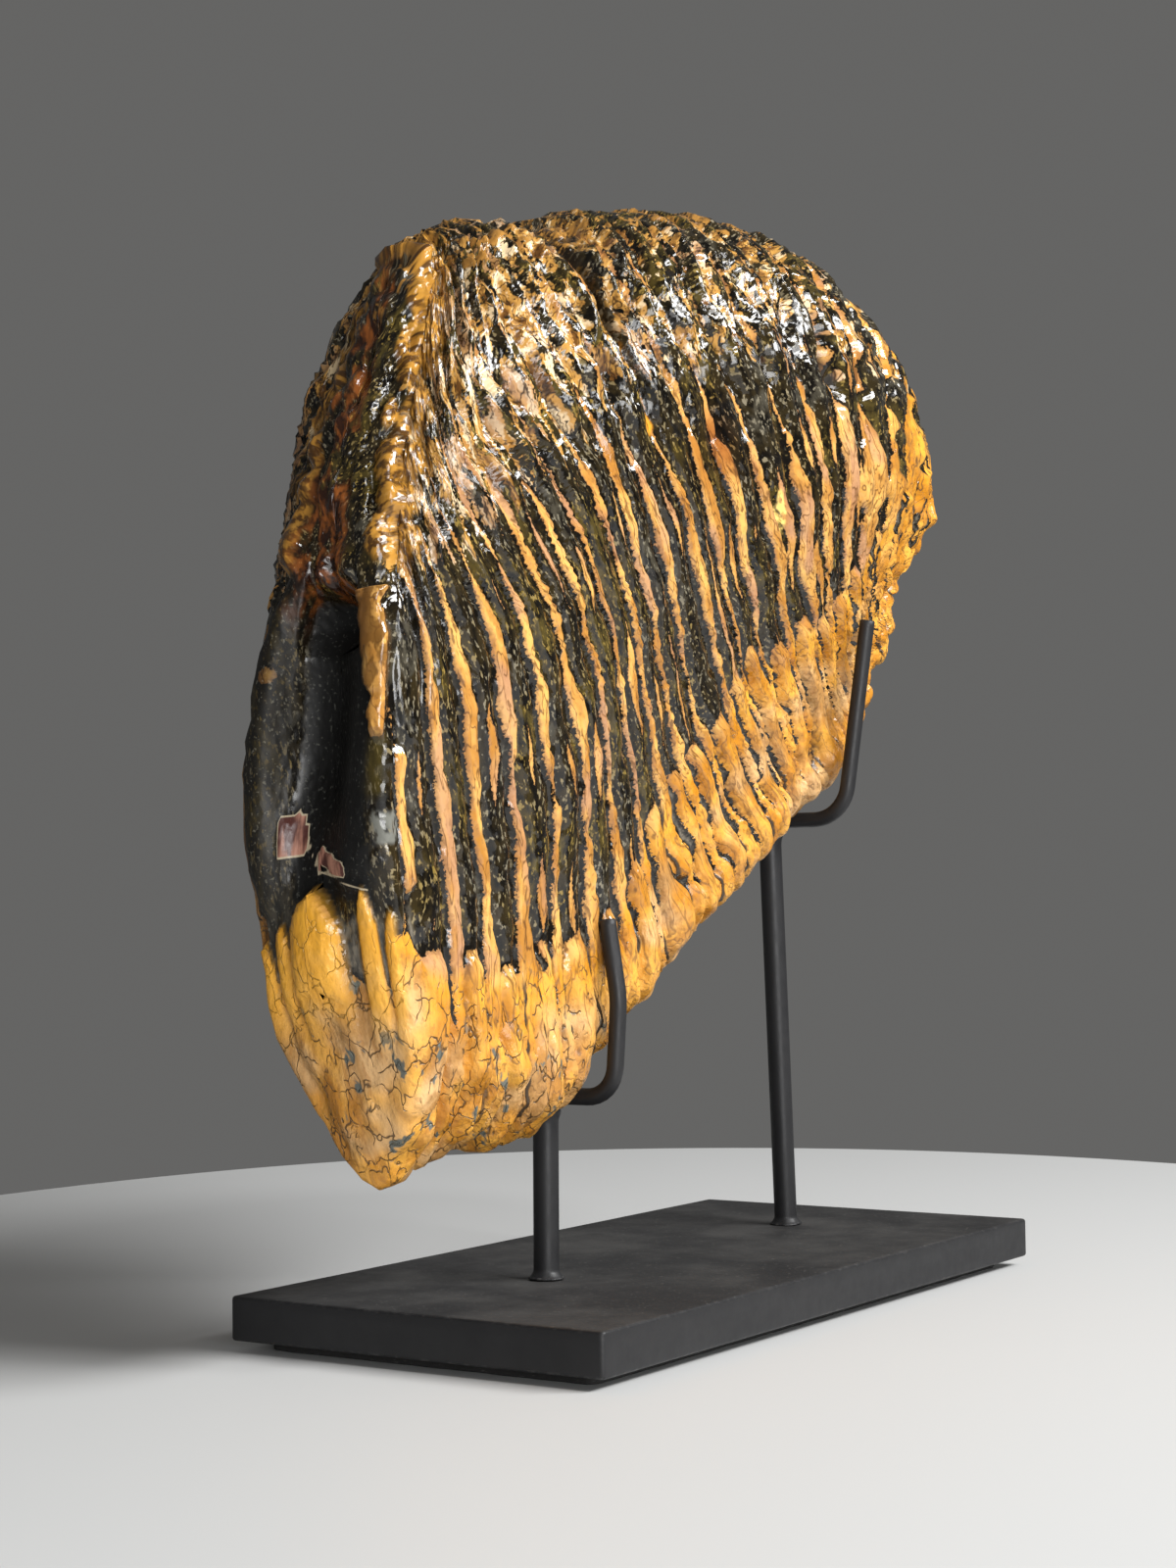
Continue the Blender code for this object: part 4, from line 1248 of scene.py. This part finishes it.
# %% Mottling, streaks, cracks and grain
def make_mottle_group():
    """Blotches, and flecks a third of their size, 0 to 1, drawn out along the strips."""
    group, given = new_group("mottle", {"Per Metre": 500.0})
    place = along_strips(group, 0.28)
    return give(group, {
        "Blotches": cloud(place, given["Per Metre"], 3.0, 0.6).ramp(0.38, 0.62),
        "Flecks": cloud(place, given["Per Metre"] * 2.9, 2.0).ramp(0.56, 0.66),
    })


def make_streak_group():
    """Thin lines along the strips, 1 on a line, and broad soft bands of tint along them."""
    group, given = new_group("streaks", {"Per Metre": 800.0})
    wander = abs(cloud(along_strips(group, 0.09), given["Per Metre"], 2.0) - 0.5)
    broad = cloud(along_strips(group, 0.25), 130.0, 2.0)
    return give(group, {"Lines": wander.ramp(0.035, 0.0), "Tint": broad.ramp(0.50, 0.64)})


def make_crack_group():
    """Thin wandering lines, 1 on a line, and gaps where the cells have parted."""
    group, given = new_group("cracks", {"Per Metre": 150.0, "Width": 0.05})
    place = place_on(group, (1.0, 1.0, 0.6))
    bend = wire(group, "ShaderNodeTexNoise", "Color", {"Vector": place, "Scale": 240.0, "Detail": 2.0})
    bend = wire(group, "ShaderNodeVectorMath", "Vector", {0: bend, "Scale": 0.006}, operation="SCALE")
    bent = wire(group, "ShaderNodeVectorMath", "Vector", {0: place, 1: bend}, operation="ADD")
    edges = cells(bent, given["Per Metre"], feature="DISTANCE_TO_EDGE")
    patches = cloud(place, 210.0, 2.0)
    beside = edges.ramp(given["Width"] * 8.0, 0.0)
    return give(group, {
        "Lines": edges.ramp(given["Width"], 0.0) * patches.ramp(0.36, 0.48),
        "Gaps": patches.ramp(0.60, 0.65) * beside.ramp(0.35, 0.6),
    })


def make_grain_group():
    """Heights for the bump, 0 to 1: granules with creases between, drawn out along the strips."""
    group, given = new_group("grain", {"Per Metre": 700.0})
    granules = cells(along_strips(group, 0.45), given["Per Metre"])
    return give(group, {"Granules": granules.ramp(0.75, 0.0)})


mottle, streaks = make_mottle_group(), make_streak_group()
cracks, grain = make_crack_group(), make_grain_group()
print("groups:", mottle.name, streaks.name, cracks.name, grain.name)

# %% [markdown]
# ## Where the ochre ends
# The mask of the ochre is worked out in the shader from the strip number, so its border stays
# crisp however coarse the mesh is: the distance to the nearest strip is the strip number folded
# back and forth between whole numbers. Strips, slivers, the fingers of the root with the dark gaps
# beside them, and the shapes of the front face are joined by taking the largest. Two noises then
# make the border wander. The creases of the root follow the same count, so they come from here too.

# %% The border of the ochre
def ochre_border(tree):
    """Mm inside the ochre, under 0 outside it; the noise that bends the border; the root's creases."""
    counted = wire(tree, "ShaderNodeSeparateXYZ", "X", {"Vector": stored(tree, "flow", "Vector")})
    across = maths("PINGPONG", counted / (STRIP_SPACING * MM), 0.5)
    from_middle = 0.5 - across
    wander = cloud(along_strips(tree, 0.35), 280.0, 2.0) - 0.5
    fine = cloud(place_on(tree), 1300.0, 2.0) - 0.5
    half = stored(tree, "half")
    strip = (half - across) * STRIP_SPACING
    sliver = (stored(tree, "sliver") - from_middle) * STRIP_SPACING
    beside = abs(across - half - 0.07)
    outside_gap = (beside + wander * 0.09 - stored(tree, "gap")) * STRIP_SPACING
    tip = from_middle**4.0 * (-FINGER_TAPER * TOOTH_HEIGHT / BORDER_STRETCH)
    finger = maths("MINIMUM", stored(tree, "finger") + tip, outside_gap)
    border = largest(strip, sliver, finger, stored(tree, "face")) + wander * 1.1 + fine
    crease = abs(across - CREASE_AT + wander * 0.20).ramp(0.032, 0.010) * stored(tree, "creased")
    return border, wander, crease * stored(tree, "root").ramp(0.05, 0.25)


print("ochre border ready")

# %% [markdown]
# ## The tooth's paint
# Enamel is nearly black, with olive, grey and golden grains. Cement is ochre, with fine dark lines
# along it and pinkish brown stretches. The root goes from orange at the fingers' tips to buff
# below, under a net of dark cracks with grey clay in the widest. Each colour is a base with coats
# laid on in turn, and every coat has a mask of its own. Over everything lies the preparator's
# varnish, thick on the crown and thin on the root.

# %% Colours of enamel and cement
# STRIP_EDGE_SHADE is painted shade: a near-black rim on the enamel beside each strip
ENAMEL_DARK, ENAMEL_LIGHT, STRIP_EDGE_SHADE = (0.0030, 0.0022, 0.0012), (0.022, 0.015, 0.005), (0.004, 0.003, 0.002)
GREY_GRAIN, GOLDEN_GRAIN = (0.24, 0.21, 0.145), (0.30, 0.20, 0.045)
OLIVE_HAZE, GREY_HAZE = (0.10, 0.072, 0.016), (0.105, 0.100, 0.080)
MUD_DARK, MUD_LIGHT = (0.055, 0.050, 0.040), (0.19, 0.165, 0.125)
OCHRE_DARK, OCHRE_LIGHT, OCHRE_PINK = (0.40, 0.175, 0.032), (0.68, 0.375, 0.10), (0.40, 0.215, 0.130)
# OCHRE_EDGE_SHADE is painted shade along the strips' rounded edges
OCHRE_PIT, OCHRE_EDGE_SHADE, OCHRE_LINE = (0.20, 0.085, 0.028), (0.27, 0.125, 0.050), (0.10, 0.040, 0.012)


def enamel_color(tree, spots):
    """Mottled enamel with olive, grey and golden grains, muddy where the root begins."""
    blotches = spots["Blotches"]
    kind = cloud(along_strips(tree, 0.35), 120.0)
    return laid_on(
        blotches.between(ENAMEL_DARK, ENAMEL_LIGHT),
        (spots["Flecks"] * 0.75, kind.ramp(0.40, 0.60).between(GREY_GRAIN, GOLDEN_GRAIN)),
        (kind.ramp(0.50, 0.64, 0.0, 0.55) * blotches, OLIVE_HAZE),
        (kind.ramp(0.40, 0.34, 0.0, 0.35) * blotches, GREY_HAZE),
        (stored(tree, "root").ramp(0.0, 0.35, 0.0, 0.85), blotches.between(MUD_DARK, MUD_LIGHT)),
    )


def cement_color(spots, pits, lines, border):
    """Ochre of the strips, with pinkish stretches, fine dark lines, and brown painted shade along their
    edges.
    """
    return laid_on(
        spots["Blotches"].between(OCHRE_DARK, OCHRE_LIGHT),
        (lines["Tint"] * 0.7, OCHRE_PINK),
        (pits * 0.40, OCHRE_PIT),
        # painted shade: the ochre turns brown towards the edge of each strip
        (border.ramp(0.55, 0.05, 0.0, 0.55), OCHRE_EDGE_SHADE),
        (lines["Lines"] * 0.8, OCHRE_LINE),
    )


print("enamel and cement ready")

# %% Colours of the root and the crown
ORANGE_DARK, ORANGE_LIGHT = (0.47, 0.185, 0.012), (0.72, 0.345, 0.042)
BUFF_DARK, BUFF_LIGHT = (0.40, 0.205, 0.062), (0.64, 0.385, 0.165)
ROOT_FLECK, ROOT_PIT, ROOT_HAIR = (0.34, 0.140, 0.028), (0.20, 0.085, 0.025), (0.13, 0.060, 0.018)
CRACK, CLAY, CREASE = (0.09, 0.050, 0.020), (0.115, 0.120, 0.100), (0.05, 0.032, 0.018)
BEAD_BROWN, BEAD_OCHRE, BEAD_CREAM = (0.13, 0.055, 0.012), (0.46, 0.24, 0.055), (0.72, 0.55, 0.33)
BEAD_PINK, BEAD_CREASE = (0.36, 0.22, 0.15), (0.040, 0.018, 0.007)


def root_color(tree, spots, pits, lines, net, crease):
    """Orange at the tips of the fingers and at the rear, buff below, veined with dark cracks."""
    root, rear_part, netted = (stored(tree, name) for name in ("root", "rear", "netted"))
    low = root.ramp(0.55, 1.0) * rear_part.ramp(0.0, 1.0, 1.0, 0.1)
    low = low * cloud(place_on(tree), 48.0, 2.0).ramp(0.42, 0.58, 1.0, 0.1)
    orange = spots["Blotches"].between(ORANGE_DARK, ORANGE_LIGHT)
    hairs = lines["Lines"] * rear_part.ramp(0.0, 1.0, 0.65, 0.95)
    return laid_on(
        low.between(orange, spots["Blotches"].between(BUFF_DARK, BUFF_LIGHT)),
        (spots["Flecks"] * 0.45, ROOT_FLECK),
        (pits * 0.30, ROOT_PIT),
        (hairs * stored(tree, "creased").ramp(0.0, 1.0, 0.1, 1.0), ROOT_HAIR),
        (net["Lines"] * netted * 0.95, CRACK),
        (net["Gaps"] * root.ramp(0.70, 0.95) * netted, CLAY),
        (crease, CREASE),
    )


def crown_color(tree, spots, lines):
    """Flecks of cement between the beads of the crown: ochre, brown, pinkish and cream."""
    kind = cloud(along_strips(tree, 0.16), 480.0)
    return laid_on(
        kind.ramp(0.36, 0.48).between(BEAD_BROWN, BEAD_OCHRE),
        (kind.ramp(0.52, 0.60), BEAD_CREAM),
        (cloud(along_strips(tree, 0.3), 90.0, 2.0).ramp(0.52, 0.62, 0.0, 0.5), BEAD_PINK),
        (largest(spots["Flecks"] * 0.8, lines["Lines"]), BEAD_CREASE),
    )


print("root and crown ready")

# %% [markdown]
# Some places have a colour of their own, and a few carry painted light and shade: a few odd patches on the
# flank, the ochre knobs of the crest, the brown balls of the front ridge, and nearly everything on the broken
# front face.

# %% Odd patches, knobs and balls
ODD_PATCHES = {
    # grey is a painted highlight, the sheen of a glossy spot
    "orange": (0.69, 0.30, 0.030), "yellow": (0.82, 0.56, 0.16), "grey": (0.15, 0.15, 0.13),
    # broken's dark brown is painted shade in the hollow of the broken foot
    "broken": (0.035, 0.020, 0.012),
}
KNOB, BALL_DARK, BALL_LIGHT = (0.34, 0.165, 0.035), (0.085, 0.036, 0.008), (0.42, 0.20, 0.030)


def spotted(tree, tone, wander):
    """The tone with its small odd patches, the knobs of the crest and the balls of the ridge."""
    rough = cloud(along_strips(tree, 0.3), 900.0, 2.0)
    for name, color in ODD_PATCHES.items():
        # grey is a painted highlight and broken is painted shade; the other patches are real colours
        there = (stored(tree, name) + wander * 1.3).ramp(0.36, 0.66)
        tone = laid_on(tone, (there * rough.ramp(0.40, 0.56, 0.12, 1.0), color))
    knobs = (stored(tree, "crest") + wander * 1.2).ramp(0.62, 0.76) * rough.ramp(0.40, 0.52)
    balls = (stored(tree, "ridge") + wander * 0.8).ramp(0.22, 0.50, 0.0, 0.85)
    return laid_on(tone, (knobs, KNOB), (balls, rough.ramp(0.42, 0.58).between(BALL_DARK, BALL_LIGHT)))


# %% The front face
# RUST_GLINT is a painted glint: bright orange specks in the rust
RUST_DARK, RUST_LIGHT, RUST_GLINT = (0.022, 0.007, 0.003), (0.20, 0.060, 0.012), (0.50, 0.23, 0.050)
STAIN, GLOSS = (0.34, 0.095, 0.022), (0.075, 0.055, 0.012)
# FINGER_PAINTED_LIGHT is painted light: the face's root fingers are lightened as if lit more strongly
# STRIP_SHADE is partly the face strip's own browner tone and partly painted shade
FINGER_PAINTED_LIGHT, STRIP_SHADE = (0.95, 0.47, 0.040), (0.13, 0.055, 0.010)
HOLLOW_DARK, HOLLOW_SPECK = (0.0022, 0.0020, 0.0017), (0.10, 0.10, 0.085)
OUTER_DARK, OUTER_SPECK = (0.007, 0.006, 0.0045), (0.13, 0.12, 0.09)
# SCAR_EDGE_HIGHLIGHT is a painted highlight on the chips' glassy edges
SCAR_EDGE_HIGHLIGHT, FLESH_DARK, FLESH_LIGHT = (0.45, 0.37, 0.25), (0.085, 0.028, 0.022), (0.40, 0.19, 0.13)


def face_color(tree, tone):
    """The tone with the rust, the dark hollow and the scars of the front face, with painted light on the
    fingers, the rust's glints and the chips' edges, and painted shade on the strip.
    """
    fibres = cloud(along_strips(tree, 0.12), 420.0)
    fibre = fibres.ramp(0.42, 0.58)
    # painted glints: the brightest fibres turn bright orange
    rust = laid_on(fibre.between(RUST_DARK, RUST_LIGHT), (fibres.ramp(0.63, 0.68), RUST_GLINT))
    patch = cloud(place_on(tree, (1, 1, 0.45)), 190.0).ramp(0.42, 0.54)
    specks = cloud(place_on(tree), 1100.0, 2.0).ramp(0.60, 0.70)
    # blotches of the face strip's darker tone, partly painted shade
    strip_shade_patches = cloud(place_on(tree, (1, 1, 0.5)), 330.0).ramp(0.46, 0.54, 0.1, 0.85)
    scar = stored(tree, "scar")
    return laid_on(
        tone,
        (stored(tree, "red") * patch, rust),
        (stored(tree, "stain") * 0.7, STAIN, "MULTIPLY"),
        (stored(tree, "dull"), (specks * 0.5).between(HOLLOW_DARK, HOLLOW_SPECK)),
        (stored(tree, "outer") * 0.7, specks.between(OUTER_DARK, OUTER_SPECK)),
        (stored(tree, "gloss") * 0.6, GLOSS),
        # painted light: the face's fingers are lightened towards a bright orange
        (stored(tree, "painted_finger_light") * 0.55, FINGER_PAINTED_LIGHT),
        # partly its own brown and partly painted shade: the face strip darkens in blotches
        (stored(tree, "strip") * strip_shade_patches, STRIP_SHADE),
        # painted highlight: pale cream along the rims of the scars and the chip's sharp edge
        (scar.ramp(0.33, 0.42), SCAR_EDGE_HIGHLIGHT),
        (scar.ramp(0.50, 0.62), fibre.between(FLESH_DARK, FLESH_LIGHT)),
    )


print("tooth colours ready")

# %% [markdown]
# ## Gloss and fine relief
# How a place shines matters as much as its colour. Varnished enamel is nearly a mirror, the bare
# root is satin, and the hollow of the front face is dull. A bump adds the relief that is too fine
# for the mesh.

# %% Roughness and bump
def tooth_roughness(tree, bare, dull):
    """Nearly a mirror on varnished enamel, satin on the bare root, dull in the hollow."""
    uneven = cloud(place_on(tree), 160.0, 2.0).ramp(0.4, 0.7, -0.03, 0.10)
    return bare.ramp(0.0, 1.0, 0.10, 0.34) + uneven + dull * 0.45


def bump_height(tree, bare, dull, net, crease):
    """Height of the fine relief in mm: granules on enamel, beads on the crown, cracks in the root."""
    granules = use_group(tree, grain, {"Per Metre": 760.0})["Granules"]
    beads = use_group(tree, grain, {"Per Metre": 400.0})["Granules"]
    crown_part = stored(tree, "crown")
    streak = cloud(along_strips(tree, 0.20), 420.0, 1.0) * crown_part.ramp(0.0, 1.0, 0.20, 1.0)
    lumps = cloud(place_on(tree, (1.0, 1.0, 0.6)), 230.0, 4.0) * bare.ramp(0.0, 1.0, 0.22, 1.0)
    height = granules * bare.ramp(0.0, 1.0, 0.13, 0.08) + beads * crown_part * 0.25
    height = height + streak * 1.5 + lumps * 1.2
    height = height + net["Lines"] * stored(tree, "netted") * bare * -0.30 + crease * -0.45
    return height * dull.ramp(0.0, 1.0, 1.0, 0.8)


print("gloss and bump ready")

# %% Paint the tooth
VARNISH_IOR, VARNISH_ROUGHNESS = 1.40, 0.10
PAINTED_CREASE_SHADE = (0.012, 0.007, 0.003)  # painted shade, laid on where the relief sinks deepest


def make_tooth_material():
    """The whole tooth: enamel, cement and root, under varnish."""
    material = simple_material("fossil_tooth", (0.3, 0.2, 0.1), 0.4)
    tree = material.node_tree
    shader = tree.nodes["Principled BSDF"]
    small, large = (use_group(tree, mottle, {"Per Metre": count}) for count in (620.0, 190.0))
    lines = use_group(tree, streaks, {"Per Metre": 560.0})
    net = use_group(tree, cracks, {"Per Metre": 200.0, "Width": 0.035})
    root, pits = stored(tree, "root"), small["Flecks"]
    border, wander, crease = ochre_border(tree)
    is_ochre = border.ramp(-0.06, 0.10)
    bare = is_ochre * root.ramp(0.1, 0.9)
    dull = largest(stored(tree, "dull"), stored(tree, "outer"))

    cement = cement_color(large, pits, lines, border)
    in_root = largest(root.ramp(0.1, 0.4), stored(tree, "rear"))
    streaky = cloud(along_strips(tree, 0.20), 620.0) - 0.5
    # painted shade: the colour darkens where the relief sinks more than 1.2 mm, less so in the root
    deep = stored(tree, "height").ramp(-1.2, -3.4, 0.0, 0.85) * root.ramp(0.0, 0.3, 1.0, 0.15)
    tone = laid_on(
        enamel_color(tree, small),
        # painted shade: a near-black rim on the enamel just outside each strip, in the grooves beside it
        (border.ramp(-0.9, -0.1) * border.ramp(0.12, -0.1), STRIP_EDGE_SHADE),
        ((stored(tree, "beads") + streaky * 2.2).ramp(0.06, 0.16), crown_color(tree, small, lines)),
        (is_ochre, in_root.between(cement, root_color(tree, large, pits, lines, net, crease))),
        (deep, PAINTED_CREASE_SHADE),
    )
    relief = bump_height(tree, bare, dull, net, crease * is_ochre)
    feed(tree, shader, {
        "Base Color": face_color(tree, spotted(tree, tone, wander)),
        "Roughness": tooth_roughness(tree, bare, dull),
        "Coat Weight": bare.ramp(0.0, 1.0, 0.24, 0.12) * dull.ramp(0.0, 1.0, 1.0, 0.1),
        "Normal": bumped(relief, MM),
    })
    shader.inputs["IOR"].default_value = VARNISH_IOR
    shader.inputs["Coat Roughness"].default_value = VARNISH_ROUGHNESS
    return material


fossil = make_tooth_material()
link("tooth", tooth_mesh, fossil, "mammoth_tooth")
print("material:", fossil.name, "with", len(fossil.node_tree.nodes), "nodes")
